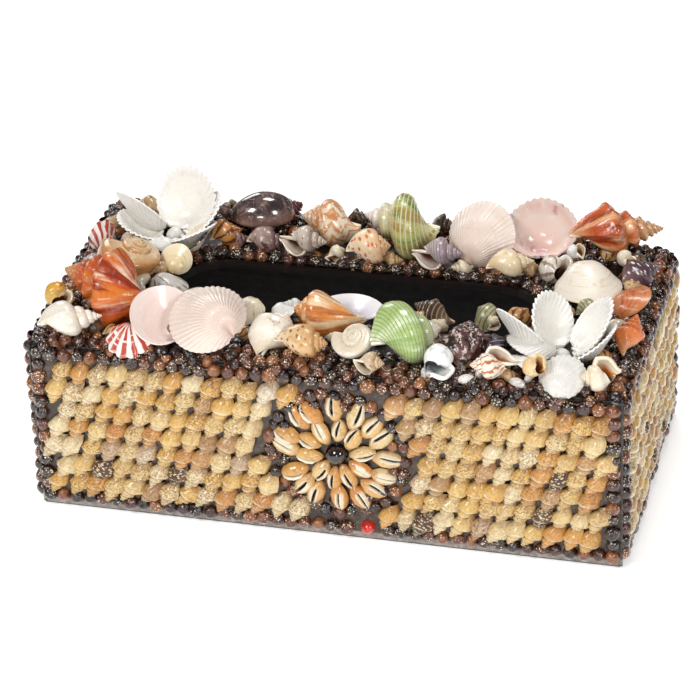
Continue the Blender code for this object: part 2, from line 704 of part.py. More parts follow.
# Valves that lie lowest: name, place as shares, length, width, depth, ribs, heading of the edge,
# pitch, roll, colour name and colour
LOW_VALVES = (
    ("scallop_striped", -0.655, -0.975, 0.0165, 0.0175, 0.0040, 4, -84, -38, 0, "striped shell", RED),
    ("clam_streaked", -0.635, -0.165, 0.0180, 0.0160, 0.0050, 0, -12, -4, 0, "white shell", WHITE),
    ("cockle_pink_front", -0.565, -0.800, 0.0270, 0.0290, 0.0070, 0, 172, 28, 160, "pink shell", PINK),
    ("cockle_ribbed_front", -0.405, -0.800, 0.0340, 0.0310, 0.0100, 7, 151, 12, -25, "white shell", WHITE),
    ("cockle_ribbed_back", 0.370, 0.680, 0.0310, 0.0320, 0.0100, 7, 88, 54, -20, "pink shell", PINK),
    ("cockle_leaning_front", 0.800, -0.890, 0.0210, 0.0185, 0.0065, 4, 80, 36, 0, "white cockle", WHITE),
)

# Valves laid over the rest, in the same form
VALVES = (
    ("clam_fluted", -0.940, 0.270, 0.0150, 0.0160, 0.0050, 3, 62, 36, 90, "striped shell", RED),
    ("clam_terracotta", 0.930, 0.155, 0.0210, 0.0200, 0.0065, 0, 60, 24, -20, "orange shell", ORANGE),
    ("clam_cream_right", 0.780, 0.250, 0.0295, 0.0280, 0.0100, 0, -70, 2, 0, "cream shell", CREAM),
    ("cockle_peach_back", 0.568, 0.740, 0.0278, 0.0300, 0.0080, 0, 100, 60, 178, "pink shell", PINK),
    ("clam_lavender", 0.020, -0.270, 0.0150, 0.0270, 0.0050, 0, 90, 20, 180, "white shell", WHITE),
    ("clam_translucent", -0.650, 0.120, 0.0150, 0.0140, 0.0045, 0, 95, 46, 0, "cream shell", CREAM),
)

# Egg-shaped shells: name, place as shares, length, width, height, sharpness, heading, colour
PEBBLES = (
    ("moon_snail_tan", -0.805, -0.030, 0.0310, 0.0290, 0.0190, 0.0, 0, "tan shell", TAN),
    ("cowrie_purple", -0.430, 0.800, 0.0320, 0.0220, 0.0160, 0.2, 20, "plum shell", PLUM),
    ("moon_snail_cream", 0.088, -0.830, 0.0205, 0.0185, 0.0120, 0.0, 40, "cream shell", CREAM),
)


def lay_valves(wreath, table):
    for name, across, along, length, width, depth, ribs, heading, pitch, roll, finish_name, colour in table:
        shape = turned(valve(length, width, depth, ribs), heading, pitch, roll)
        wreath.lay(name, shape, across, along, finish(finish_name, colour))


def build_wreath():
    """The larger shells, laid from the lowest up."""
    wreath = Wreath()
    lay_valves(wreath, LOW_VALVES)
    for name, across, along, length, width, height, sharp, heading, finish_name, colour in PEBBLES:
        shape = turned(pebble(length, width, height, sharp), heading)
        wreath.lay(name, shape, across, along, finish(finish_name, colour))
    for name, form, across, along, length, width, spire, heading, pitch, roll, finish_name, colour in COILED:
        shape = turned(spiral_shell(length, width, spire, *form), heading, pitch, roll)
        wreath.lay(name, shape, across, along, finish(finish_name, colour))
    for name, across, along, petals in (
        ("flower_front_right", 0.760, -0.545, FRONT_FLOWER),
        ("flower_back_left", -0.716, 0.540, BACK_FLOWER),
    ):
        wreath.lay(name, flower(petals), across, along, finish("white cockle", WHITE, 0.3))
    lay_valves(wreath, VALVES)


clear_scene()
build_carcass()
build_bead_borders()
build_snail_fields()
build_medallion()
build_wreath()
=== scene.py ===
"""Looks of a shell-covered tissue box.

A box of thin board is glued over with small snails, dark round shells and a wreath of sea shells.
"""

import math

import bpy
import numpy as np
from mathutils import Matrix, Vector


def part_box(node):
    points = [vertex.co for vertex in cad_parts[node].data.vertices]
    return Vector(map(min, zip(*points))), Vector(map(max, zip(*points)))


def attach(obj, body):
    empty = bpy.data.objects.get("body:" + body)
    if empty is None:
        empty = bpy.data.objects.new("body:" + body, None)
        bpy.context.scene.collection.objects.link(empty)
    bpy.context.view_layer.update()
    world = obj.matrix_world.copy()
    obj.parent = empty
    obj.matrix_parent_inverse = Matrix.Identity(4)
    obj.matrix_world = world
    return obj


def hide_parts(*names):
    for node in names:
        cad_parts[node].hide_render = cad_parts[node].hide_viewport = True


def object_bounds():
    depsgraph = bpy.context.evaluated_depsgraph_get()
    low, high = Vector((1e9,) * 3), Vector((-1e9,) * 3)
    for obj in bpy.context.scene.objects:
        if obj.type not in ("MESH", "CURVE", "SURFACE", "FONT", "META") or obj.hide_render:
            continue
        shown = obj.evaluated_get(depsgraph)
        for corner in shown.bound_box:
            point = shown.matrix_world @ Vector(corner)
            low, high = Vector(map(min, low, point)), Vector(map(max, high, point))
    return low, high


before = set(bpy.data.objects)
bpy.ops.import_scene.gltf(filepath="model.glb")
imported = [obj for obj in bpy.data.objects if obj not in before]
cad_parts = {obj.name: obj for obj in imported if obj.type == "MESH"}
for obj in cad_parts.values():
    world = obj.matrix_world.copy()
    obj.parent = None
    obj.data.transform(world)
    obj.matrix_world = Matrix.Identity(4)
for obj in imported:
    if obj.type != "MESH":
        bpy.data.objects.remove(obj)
CAD_BOX = [[float(v) for v in corner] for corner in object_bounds()]

# The board box, the same values as its solids have
LENGTH = 0.270
DEPTH = 0.132
HEIGHT = 0.086
GAP = 0.0003
BARE_FOOT = 0.003
BEAD_PITCH = 0.0064
SLOT_LENGTH = 0.172
SLOT_WIDTH = 0.046
MEDALLION = (0.0068, 0.0455)
RED_BEAD = (0.0198, 0.0072, 0.0066)

# What is laid on it: how deep a shell's hidden part may sink into a face, sizes, steps and clearances
SINK = 0.0004
BEAD_RADIUS = 0.0034
SLOT_BEAD_RADIUS = 0.0030
EDGE_BEAD_RADIUS = 0.0026
RIM_BEADS = 3
SNAIL_PITCH = 0.0086
SNAIL_ROWS = 7
SNAIL_ROW_SHIFT = 0.43
SNAIL_HEADING = 245
MEDALLION_CLEARANCE = 0.0350
RED_BEAD_CLEARANCE = 0.0085
VALVE_WALL = 0.0010
GLUE_EDGE = 0.0012

# The way from the box to the viewer, a whole turn, and nearly one for random angles
TO_CAMERA = (0.2276, -0.8208, 0.5240)
TURN = 6.2832
ANY_ANGLE = 6.28

SIDES = ("front", "right", "back", "left")


# Shapes: points, faces, marks that the patterns follow, and a slot for each face


class Skin:
    """A growing mesh: points with their marks and tints, faces with their material slots."""

    def __init__(self):
        self.points, self.marks, self.tints, self.faces, self.slots = [], [], [], [], []
        self.size = 0

    def add(self, points, marks, faces, slot=0):
        points = np.asarray(points, float).reshape(-1, 3)
        self.points.append(points)
        self.marks.append(np.asarray(marks, float).reshape(-1, 3))
        self.tints.append(np.full(points.shape, 0.5))
        self.faces.append(faces + self.size)
        self.slots.append(np.full(len(faces), slot))
        self.size += len(points)
        return self

    def cloud(self):
        return np.vstack(self.points)

    def packed(self):
        """One array of each, without the points that no face uses."""
        faces = np.vstack(self.faces)
        used, order = np.unique(faces, return_inverse=True)
        single = Skin()
        single.size = len(used)
        single.points = [self.cloud()[used]]
        single.marks = [np.vstack(self.marks)[used]]
        single.tints = [np.vstack(self.tints)[used]]
        single.faces = [order.reshape(faces.shape)]
        single.slots = [np.concatenate(self.slots)]
        return single

    def move(self, matrix):
        """Turns and shifts every point by a 4x4 matrix."""
        matrix = np.array(matrix)
        self.points = [points @ matrix[:3, :3].T + matrix[:3, 3] for points in self.points]

    def take(self, other, matrix=None, tint=None, keep=None):
        """Adds another shape, turned and shifted, and drops the faces for which keep says no."""
        points = other.cloud()
        if matrix is not None:
            points = points @ np.array(matrix)[:3, :3].T + np.array(matrix)[:3, 3]
        for faces, slots in zip(other.faces, other.slots):
            if keep is not None:
                stays = keep(points)[faces].any(axis=1)
                faces, slots = faces[stays], slots[stays]
            self.faces.append(faces + self.size)
            self.slots.append(slots)
        tints = np.vstack(other.tints)
        self.points.append(points)
        self.marks.append(np.vstack(other.marks))
        self.tints.append(tints if tint is None else np.broadcast_to(tint, tints.shape))
        self.size += len(points)


def make(name, skin, materials, replaces, slot):
    """A mesh object of the shape, which rides on the root and stands for the CAD nodes it replaces."""
    skin = skin.packed()
    faces = skin.faces[0].astype(np.int32)
    mesh = bpy.data.meshes.new(name)
    mesh.vertices.add(skin.size)
    mesh.vertices.foreach_set("co", np.clip(skin.points[0], *CAD_BOX).ravel())
    mesh.loops.add(faces.size)
    mesh.loops.foreach_set("vertex_index", faces.ravel())
    mesh.polygons.add(len(faces))
    mesh.polygons.foreach_set("loop_start", np.arange(0, faces.size, 4, dtype=np.int32))
    mesh.polygons.foreach_set("loop_total", np.full(len(faces), 4, dtype=np.int32))
    for label, values in (("marks", skin.marks[0]), ("tint", skin.tints[0])):
        layer = mesh.attributes.new(label, "FLOAT_VECTOR", "POINT")
        layer.data.foreach_set("vector", values.ravel())
    for material in materials:
        mesh.materials.append(material)
    mesh.polygons.foreach_set("material_index", skin.slots[0].astype(np.int32))
    mesh.polygons.foreach_set("use_smooth", np.full(len(faces), True))
    mesh.update(calc_edges=True)
    mesh.validate()
    thing = bpy.data.objects.new(name, mesh)
    bpy.context.scene.collection.objects.link(thing)
    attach(thing, "root")
    if replaces:
        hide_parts(*replaces)


def stack(*parts):
    """Arrays of fitting shapes, side by side in a last axis."""
    return np.stack(np.broadcast_arrays(*parts), -1)


def quads(rows, columns, flip=False):
    """The faces of a grid of points."""
    i, j = np.meshgrid(np.arange(rows - 1), np.arange(columns - 1), indexing="ij")
    first = (i * columns + j).ravel()
    faces = np.stack([first, first + columns, first + columns + 1, first + 1], 1)
    return faces[:, ::-1] if flip else faces


def ease(low, high, value):
    share = np.clip((value - low) / (high - low), 0, 1)
    return share * share * (3 - 2 * share)


def spline(knots, count):
    """Evenly spaced points on a smooth curve through the knots."""
    knots = np.asarray(knots, float)
    ends = np.vstack([2 * knots[0] - knots[1], knots, 2 * knots[-1] - knots[-2]])
    t = np.linspace(0, 1, 16, endpoint=False)[:, None]
    runs = []
    for a, b, c, d in zip(ends, ends[1:], ends[2:], ends[3:]):
        bend, twist = 2 * a - 5 * b + 4 * c - d, 3 * b - a - 3 * c + d
        runs.append(0.5 * (2 * b + (c - a) * t + bend * t**2 + twist * t**3))
    curve = np.vstack(runs + [knots[-1:]])
    run = np.r_[0, np.cumsum(np.linalg.norm(np.diff(curve, axis=0), axis=1))]
    spots = np.linspace(0, run[-1], count)
    return np.stack([np.interp(spots, run, curve[:, k]) for k in range(curve.shape[1])], 1)


# Growth in a turn, how far down the whorl is widest, and how wide it is lower down
WHELK = (1.50, 0.24, 0.58)
SNAIL = (1.60, 0.38, 0.74)
TURBAN = (1.80, 0.46, 0.86)


def coil(length, width, spire, form, whorls=6.5, steps=30, count=24, ribs=(0, 0.0), cords=(0, 0.0),
         knobs=(0, 0.0, 0.3), flare=0.0, wall=0.06, wobble=0.012, seed=0, mouth=True, tip=0.10, pillar=0.17):
    """A coiled shell about X, apex at +X, its mouth open towards -Z at the end of the last whorl.

    Marks: how far across the whorl from suture to base, turns before the lip (negative), and the scale.
    """
    growth, belly, foot = form
    rng = np.random.default_rng(seed)
    radius = width / (1 + growth**-0.5)
    start = spire * length
    rest = length - start
    drop = 0.35 * (growth - 1) * start
    knots = [
        (start - 0.02 * length, radius / growth * 0.86),
        (start + 0.02 * drop, radius / growth * 1.02),
        (start + drop, radius * 0.94),
        (start + rest * max(belly, drop / rest + 0.08), radius),
        (start + rest * 0.68, radius * foot),
        (start + rest * 0.88, radius * max(foot * 0.52, tip * 1.12)),
        (length, radius * tip),
    ]
    curve = spline(knots, count)
    d, r = curve[:, 0], curve[:, 1]
    slope = np.gradient(curve, axis=0)
    slope /= np.linalg.norm(slope, axis=1)[:, None] + 1e-12
    across = np.linspace(0, 1, count)
    cut = min(count - 1, int(np.searchsorted(d, start * growth * 1.04)) + 1)
    late = np.linspace(1.4, 0, int(1.4 * steps) + 1)
    early = np.linspace(whorls, 1.4, max(3, int((whorls - 1.4) * steps * 0.7)), endpoint=False)
    phases = rng.uniform(0, 2 * math.pi, 6)

    def surface(back, grow=0.0, plain=False):
        """Points of the whorl at so many turns before the lip, grown outwards by a share of its size."""
        back = np.asarray(back, float)[:, None]
        scale = growth**-back
        turn = -back
        height = np.full((len(back), count), grow)
        if not plain and ribs[0]:
            wave = np.cos(2 * math.pi * ribs[0] * (turn + 0.12 * across)) * 0.5 + 0.5
            height = height + ribs[1] * wave**1.5 * ease(0.04, 0.16, across) * (1 - ease(0.55, 0.85, across))
        if not plain and cords[0]:
            wave = np.cos(2 * math.pi * cords[0] * across) * 0.5 + 0.5
            height = height + cords[1] * wave * ease(0.03, 0.1, across)
        if not plain and knobs[0]:
            wave = np.maximum(0, np.cos(2 * math.pi * knobs[0] * turn)) ** 1.6
            height = height + knobs[1] * wave * np.exp(-(((across - knobs[2]) / 0.09) ** 2))
        if not plain:
            angles = [2 * math.pi * ((1 + k) * 0.9 * turn) + (2 + k) * across * 2.2 for k in range(3)]
            height = height + wobble * sum(np.sin(phases[k] + angles[k]) for k in range(3)) / 1.7
        if flare:
            height = height + flare * (1 - ease(0.0, 0.10, back)) * ease(0.05, 0.25, across)
        height = height * radius
        far = scale * (d - slope[:, 1] * height)
        reach = scale * (r + slope[:, 0] * height)
        angle = 2 * math.pi * turn
        points = stack(length / 2 - far, reach * np.cos(angle), -reach * np.sin(angle))
        return points, stack(across[None, :], turn, scale)

    skin = Skin()
    turns = np.concatenate([early, late])
    outer, marks = surface(turns)
    faces = quads(len(turns), count)
    row = faces[:, 0] // count
    column = faces[:, 0] % count
    faces = faces[(row >= len(early) - 1) | (column < cut)]
    skin.add(outer, marks, faces)
    if mouth:
        back = np.linspace(0, 0.62, 12)
        lining, lining_marks = surface(back, -wall, plain=True)
        lining_marks[..., 1] *= -1
        share = np.linspace(0, 1, 5)[:, None, None]
        rim = outer[-1][None] * (1 - share) + lining[0][None] * share
        rim = rim + np.array([0, 0, -1]) * np.sin(math.pi * share) * wall * radius * 0.8
        skin.add(rim, np.repeat(lining_marks[:1], 5, axis=0), quads(5, count), 1)
        skin.add(lining, lining_marks, quads(len(back), count), 1)
        back = np.linspace(1.5, 0.86, 14)
        patch, patch_marks = surface(back, 0.014, plain=True)
        fade = ease(0.86, 0.92, back)[:, None, None]
        patch = surface(back, -0.02, plain=True)[0] * (1 - fade) + patch * fade
        patch_marks[..., 1] = ease(0.98, 1.4, back)[:, None] * 0.6
        faces = quads(len(back), count)
        skin.add(patch, patch_marks, faces[faces[:, 0] % count >= cut - 1], 1)
    if mouth and pillar:
        along = np.linspace(length / growth * 0.80, length, 9)[:, None]
        thick = radius * np.linspace(pillar, pillar * 0.3, 9)[:, None]
        around = np.linspace(0, 2 * math.pi, 11)
        rod = stack(length / 2 - along, thick * np.cos(around) + radius * 0.02, thick * np.sin(around))
        rod_marks = np.zeros_like(rod)
        rod_marks[..., 1] = 0.06
        skin.add(rod, rod_marks, quads(9, 11), 1)
    return skin.packed()


def normals(points):
    """The way out of a grid of points at each of them."""
    n = np.cross(np.gradient(points, axis=0), np.gradient(points, axis=1))
    n[0] = n[1]
    return n / (np.linalg.norm(n, axis=-1, keepdims=True) + 1e-15)


def valve(length, width, depth, ribs=0, spread=87, rows=24, rib_height=0.012, tooth=0.022, seed=0):
    """One cupped valve, beak at -X, edge at +X, hollow side down.

    Marks: beak to edge, round the fan, and a number of its own.
    """
    columns = ribs * 4 + 1 if ribs else 45
    level = np.linspace(0, 1, rows)[:, None] ** 0.85
    fan = np.linspace(-1, 1, columns)[None, :]
    angle = np.radians(spread) * fan
    phase = np.random.default_rng(seed).uniform(0, ANY_ANGLE, 4)
    ridge = np.sqrt(0.5 + 0.5 * np.cos(2 * math.pi * (fan + 1) / 2 * ribs)) if ribs else np.zeros_like(fan)
    edge = 1 + tooth * (ridge - 0.6) * ease(0.7, 1.0, level) if ribs else 1.0
    uneven = 1 + 0.012 * np.sin(3 * angle + phase[0]) * level + 0.008 * np.sin(7 * angle + phase[1]) * level
    reach = length * np.cos(angle) ** 0.72 * level * edge * uneven
    dome = depth * np.sin(math.pi * level**0.62) * np.cos(angle) ** 0.6
    beak = 0.06 * depth * (1 - level) ** 2 * np.cos(angle)
    plain = stack(reach * np.cos(angle) - length / 2, reach * np.sin(angle) * width / length, dome + beak)
    out = normals(plain)
    steps = 0.010 * np.sin(level * 22 + 1.2 * np.sin(angle * 2 + phase[2])) * ease(0.3, 0.9, level) * 0.35
    lift = ridge * rib_height * ease(0.05, 0.5, level) + steps
    top = plain + out * (length * lift)[..., None]
    under = plain - out * VALVE_WALL * (1 - 0.35 * ease(0.75, 1.0, level))[..., None]
    if ribs:
        lift = (ridge - 0.5) * rib_height * 0.9 * ease(0.86, 1.0, level)
        under = under + out * (length * lift)[..., None]
    marks = stack(level, fan, seed * 0.37)
    skin = Skin()
    skin.add(top, marks, quads(rows, columns))
    skin.add(under, marks, quads(rows, columns, flip=True), 1)
    share = np.linspace(0, 1, 4)[:, None, None]
    for rim, flip in ((np.s_[-1], False), (np.s_[:, 0], False), (np.s_[:, -1], True)):
        strip = top[rim][None] * (1 - share) + under[rim][None] * share
        line = marks[rim]
        skin.add(strip, np.repeat(line[None], 4, axis=0), quads(4, len(line), flip), 1)
    return skin.packed()


def ball(rings=9, sides=12, squash=1.0, dent=0.0, seed=0):
    """A round bead of radius 1 about Z, a little uneven, its back half left out below -0.35."""
    phase = np.random.default_rng(seed).uniform(0, ANY_ANGLE, 4)
    polar = np.linspace(0.0, math.pi * 0.66, rings)[:, None]
    around = np.linspace(0, 2 * math.pi, sides + 1)[None, :]
    swell = 1 + 0.05 * np.sin(2 * around + phase[0]) * np.sin(polar) + 0.04 * np.sin(3 * polar + phase[1])
    swell = swell - dent * np.exp(-((polar / 0.35) ** 2))
    out = np.sin(polar) * swell
    points = stack(np.cos(around) * out, np.sin(around) * out, np.cos(polar) * swell * squash)
    marks = stack(polar / math.pi, around / TURN, seed * 0.61)
    return Skin().add(points, marks, quads(rings, sides + 1)).packed()


def egg(length, width, height, sharp):
    """A closed egg shape about X with a long slit and rolled lips below, such as a cowrie."""
    polar = np.linspace(0.0, math.pi, 26)[:, None]
    around = np.linspace(0, 2 * math.pi, 45)[None, :]
    x = -np.cos(polar)
    reach = np.sin(polar) ** 0.86 * (1 - sharp * np.maximum(0, -x) ** 1.5)
    below = around - 1.5 * math.pi
    slit = np.exp(-((below / 0.16) ** 2)) * ease(0.1, 0.5, np.sin(polar))
    teeth = 0.02 * np.cos(x * 50) * np.exp(-((below / 0.4) ** 2))
    out = reach * (1 - 0.22 * slit + teeth)
    rise = np.sin(around) * height * np.where(np.sin(around) > 0, 0.68, 0.32)
    points = stack(x * length / 2, out * np.cos(around) * width / 2, out * rise)
    marks = stack((x + 1) / 2, around / TURN, slit)
    return Skin().add(points, marks, quads(26, 45)).packed()


def turned(heading, pitch=0.0, roll=0.0):
    """Rolls about its own axis, tips the +X end up and turns to the heading, in degrees."""
    spin = Matrix.Rotation(math.radians(heading), 4, "Z")
    tip = Matrix.Rotation(math.radians(-pitch), 4, "Y")
    own = Matrix.Rotation(math.radians(roll), 4, "X")
    return spin @ tip @ own


def facing(heading, pitch, roll):
    """A turn for a coiled shell, where the roll may say that its mouth is to face the front or away."""
    if roll in ("face", "away"):
        seen = turned(heading, pitch).to_3x3().transposed() @ Vector(TO_CAMERA)
        roll = math.degrees(math.atan2(seen.y, -seen.z)) + (180 if roll == "away" else 0)
    return turned(heading, pitch, float(roll))


# Materials: a small language for node trees


def rgb(code):
    """Linear colour of a code such as a87443."""
    parts = [int(code[k : k + 2], 16) / 255 for k in (0, 2, 4)]
    return tuple(c / 12.92 if c <= 0.04045 else ((c + 0.055) / 1.055) ** 2.4 for c in parts) + (1.0,)


def layers_of(text):
    """Kind, colour and numbers of each layer of pattern, from text such as "dots 9a5f2e 9 12 0.34; ..."."""
    for part in filter(None, text.split(";")):
        kind, shade, *numbers = part.split()
        yield kind, shade, [float(number) for number in numbers]


class Paint:
    """One material's node tree."""

    def __init__(self, name, coat=0.0, ior=1.5):
        self.material = bpy.data.materials.new(name)
        self.material.use_nodes = True
        self.tree = self.material.node_tree
        self.shader = self.tree.nodes["Principled BSDF"]
        self.shader.inputs["Coat Weight"].default_value = coat
        self.shader.inputs["Coat Roughness"].default_value = 0.06
        self.shader.inputs["IOR"].default_value = ior
        self.marks = {}

    def put(self, kind, values=(), **settings):
        node = self.tree.nodes.new(kind)
        for key, value in settings.items():
            setattr(node, key, value)
        for socket, value in values:
            target = node.inputs[socket]
            if isinstance(value, bpy.types.NodeSocket):
                self.tree.links.new(value, target)
            else:
                target.default_value = value
        return node

    def math(self, operation, a, b=0.0):
        return self.put("ShaderNodeMath", [(0, a), (1, b)], operation=operation).outputs[0]

    def plus(self, a, b):
        return self.math("ADD", a, b)

    def times(self, a, b):
        return self.math("MULTIPLY", a, b)

    def off(self, a, b):
        """How far a value is from another."""
        return self.math("ABSOLUTE", self.math("SUBTRACT", a, b))

    def stray(self, value, scale, detail, amount):
        """The value, made uneven by noise."""
        noise = self.math("SUBTRACT", self.noise(scale, detail), 0.5)
        return self.plus(value, self.times(noise, amount))

    def mark(self, axis, source="marks"):
        if source not in self.marks:
            attribute = self.put("ShaderNodeAttribute", attribute_name=source)
            self.marks[source] = self.put("ShaderNodeSeparateXYZ", [(0, attribute.outputs["Vector"])])
        return self.marks[source].outputs[axis]

    def place(self):
        return self.put("ShaderNodeTexCoord").outputs["Object"]

    def grid(self, across, along, seed=0.0):
        """Marks stretched so that a pattern runs so many times over each."""
        values = [(0, self.times(self.mark(0), across)), (1, self.times(self.mark(1), along)), (2, seed)]
        return self.put("ShaderNodeCombineXYZ", values).outputs[0]

    def noise(self, scale, detail=3.0, vector=None, rough=0.55, warp=0.0):
        values = [("Scale", scale), ("Detail", detail), ("Roughness", rough), ("Distortion", warp)]
        values.append(("Vector", vector if vector is not None else self.place()))
        return self.put("ShaderNodeTexNoise", values).outputs[0]

    def cells(self, scale, vector=None, jitter=1.0):
        place = vector if vector is not None else self.place()
        values = [("Scale", scale), ("Randomness", jitter), ("Vector", place)]
        return self.put("ShaderNodeTexVoronoi", values).outputs["Distance"]

    def step(self, value, low, high, to_low=0.0, to_high=1.0):
        values = [(0, value), (1, low), (2, high), (3, to_low), (4, to_high)]
        return self.put("ShaderNodeMapRange", values, interpolation_type="SMOOTHSTEP").outputs[0]

    def ramp(self, value, stops):
        """Colours along a value, from text such as "0 a87443, 0.5 ece2d2, 1 e6d9c3"."""
        node = self.put("ShaderNodeValToRGB", [(0, value)])
        stops = [stop.split() for stop in stops.split(",")]
        ramp = node.color_ramp
        while len(ramp.elements) < len(stops):
            ramp.elements.new(0.5)
        for element, (position, colour) in zip(ramp.elements, stops):
            element.position = float(position)
            element.color = rgb(colour)
        return node.outputs[0]

    def mix(self, share, a, b, blend="MIX"):
        a, b = (rgb(shade) if isinstance(shade, str) else shade for shade in (a, b))
        values = [(0, share), (6, a), (7, b)]
        return self.put("ShaderNodeMix", values, data_type="RGBA", blend_type=blend).outputs[2]

    def waves(self, value, width, soft=0.12):
        """A stripe at each whole number of the value."""
        saw = self.off(self.math("FRACT", value), 0.5)
        return self.step(saw, 0.5 - width - soft * 0.5, 0.5 - width + soft * 0.5)

    def bump(self, height, strength, distance, target="Normal"):
        values = [("Height", height), ("Strength", strength), ("Distance", distance)]
        self.tree.links.new(self.put("ShaderNodeBump", values).outputs[0], self.shader.inputs[target])

    def finish(self, colour, roughness, height, strength=0.3, distance=0.0004):
        self.tree.links.new(colour, self.shader.inputs["Base Color"])
        if isinstance(roughness, float):
            self.shader.inputs["Roughness"].default_value = roughness
        else:
            self.tree.links.new(roughness, self.shader.inputs["Roughness"])
        self.bump(height, strength, distance)
        return self.material


def whorl_paint(name, stops, layers, gloss=0.24):
    """A coiled shell: colours from suture to base, then layers of pattern, growth lines and gloss."""
    p = Paint(name, coat=0.35)
    colour = p.ramp(p.stray(p.mark(0), 260, 4, 0.18), stops)
    for kind, shade, numbers in layers_of(layers):
        if kind == "axial":
            turns, width, wander, slant = numbers
            value = p.plus(p.times(p.mark(1), turns), p.times(p.mark(0), slant))
            mask = p.waves(p.plus(value, p.times(p.noise(330, 3), wander)), width)
        elif kind == "zigzag":
            turns, width, depth, folds = numbers
            fold = p.math("PINGPONG", p.times(p.mark(0), folds), 1.0)
            value = p.plus(p.times(p.mark(1), turns), p.times(fold, depth))
            mask = p.waves(p.plus(value, p.times(p.noise(300, 2), 0.5)), width)
        elif kind == "cords":
            count, width = numbers
            mask = p.waves(p.times(p.mark(0), count), width)
        elif kind == "dots":
            rows, turns, size = numbers
            mask = p.step(p.cells(1.0, p.grid(rows, turns), 0.75), size, size - 0.12)
        elif kind == "blotch":
            scale, low, high = numbers
            mask = p.step(p.noise(scale, 4, warp=0.6), low, high)
        elif kind == "streak":
            across, along, low, high = numbers
            mask = p.step(p.noise(1.0, 4, p.grid(across, along, 3.1)), low, high)
        elif kind == "spire":
            low, high = numbers
            mask = p.step(p.mark(2), high, low)
        colour = p.mix(mask, colour, shade)
    grime = p.step(p.noise(900, 3), 0.35, 0.75, 0.0, 0.16)
    colour = p.mix(grime, colour, "8a6a4c", "MULTIPLY")
    growth = p.noise(1.0, 3, p.grid(2.5, 70, 7.7))
    rough = p.step(p.noise(500, 3), 0.2, 0.8, gloss - 0.07, gloss + 0.12)
    return p.finish(colour, rough, growth, 0.25, 0.0005)


def mouth_paint(name, lip, deep, dark="2a1710"):
    """Inside of a coiled shell: its glossy lip, its throat and, deep behind them, painted shade."""
    p = Paint(name, coat=0.6)
    value = p.stray(p.mark(1), 300, 3, 0.06)
    # painted shade: deep inside the mouth the colour turns dark
    colour = p.ramp(value, f"0 {lip}, 0.07 {lip}, 0.16 {deep}, 0.42 {dark}")
    rough = p.step(p.noise(600, 2), 0.3, 0.7, 0.12, 0.22)
    return p.finish(colour, rough, p.noise(700, 3), 0.06)


def fan_paint(name, stops, layers, gloss, fine=0.25):
    """Outside or inside of a valve: colours from beak to edge, with growth lines and radial rays."""
    p = Paint(name, coat=0.25)
    colour = p.ramp(p.stray(p.mark(0), 240, 3, 0.14), stops)
    for kind, shade, numbers in layers_of(layers):
        if kind == "rays":
            count, width, wander = numbers
            mask = p.waves(p.plus(p.times(p.mark(1), count), p.times(p.noise(200, 3), wander)), width)
        elif kind == "rings":
            low, high, scale = numbers
            mask = p.step(p.noise(1.0, 4, p.grid(scale, 1.3, 5.0)), low, high)
        elif kind == "streak":
            low, high, scale = numbers
            mask = p.step(p.noise(1.0, 4, p.grid(2.0, scale, 2.0)), low, high)
        elif kind == "blotch":
            scale, low, high = numbers
            mask = p.step(p.noise(scale, 4, warp=0.5), low, high)
        elif kind == "grooves":
            mask = p.waves(p.times(p.plus(p.mark(1), 1.0), numbers[0] / 2), -0.30, 0.4)
            mask = p.times(p.math("SUBTRACT", 1.0, mask), 0.6)
        colour = p.mix(mask, colour, shade)
    rings = p.noise(1.0, 3, p.grid(46, 1.5, 1.0))
    rays = p.noise(1.0, 2, p.grid(1.5, 60, 4.0))
    rough = p.step(p.noise(420, 3), 0.25, 0.75, gloss - 0.08, gloss + 0.12)
    return p.finish(colour, rough, p.plus(rings, p.times(rays, 0.15)), fine)


# Camera and light


def place_camera():
    azimuth, elevation, roll = math.radians(15.504), math.radians(31.584), math.radians(-2.499)
    level = math.cos(elevation)
    away = Vector((math.sin(azimuth) * level, -math.cos(azimuth) * level, math.sin(elevation)))
    across = (-away).cross(Vector((0, 0, 1))).normalized()
    up = across.cross(-away)
    right = math.cos(roll) * across + math.sin(roll) * up
    upright = -math.sin(roll) * across + math.cos(roll) * up
    matrix = Matrix((right, upright, away)).transposed().to_4x4()
    matrix.translation = Vector((-0.0038, 0, 0.0577)) + away * 1.5227
    data = bpy.data.cameras.new("camera")
    data.lens = 169.12
    data.sensor_width = 36
    data.clip_start = 0.05
    camera = bpy.data.objects.new("camera", data)
    camera.matrix_world = matrix
    bpy.context.scene.collection.objects.link(camera)
    bpy.context.scene.camera = camera


# Each soft box: place and size in metres, and power in watts
LIGHTS = {
    "key": ((-0.60, -0.95, 1.10), (0.42, 0.42), 10.4),
    "fill": ((0.95, -0.80, 0.70), (0.24, 0.40), 5.0),
    "over": ((0.10, 0.45, 1.35), (0.44, 0.32), 7.4),
    "low_front": ((0.10, -1.30, 0.35), (0.40, 0.12), 3.0),
    "behind": ((-0.70, 1.00, 0.60), (0.50, 0.40), 3.2),
}
LIT_SPOT = (0, 0, 0.05)
SKY_STRENGTH = 0.20
FLOOR_GLOW = 0.42
FLOOR_LEVEL = -0.0002
FLOOR_REACH = 3.0


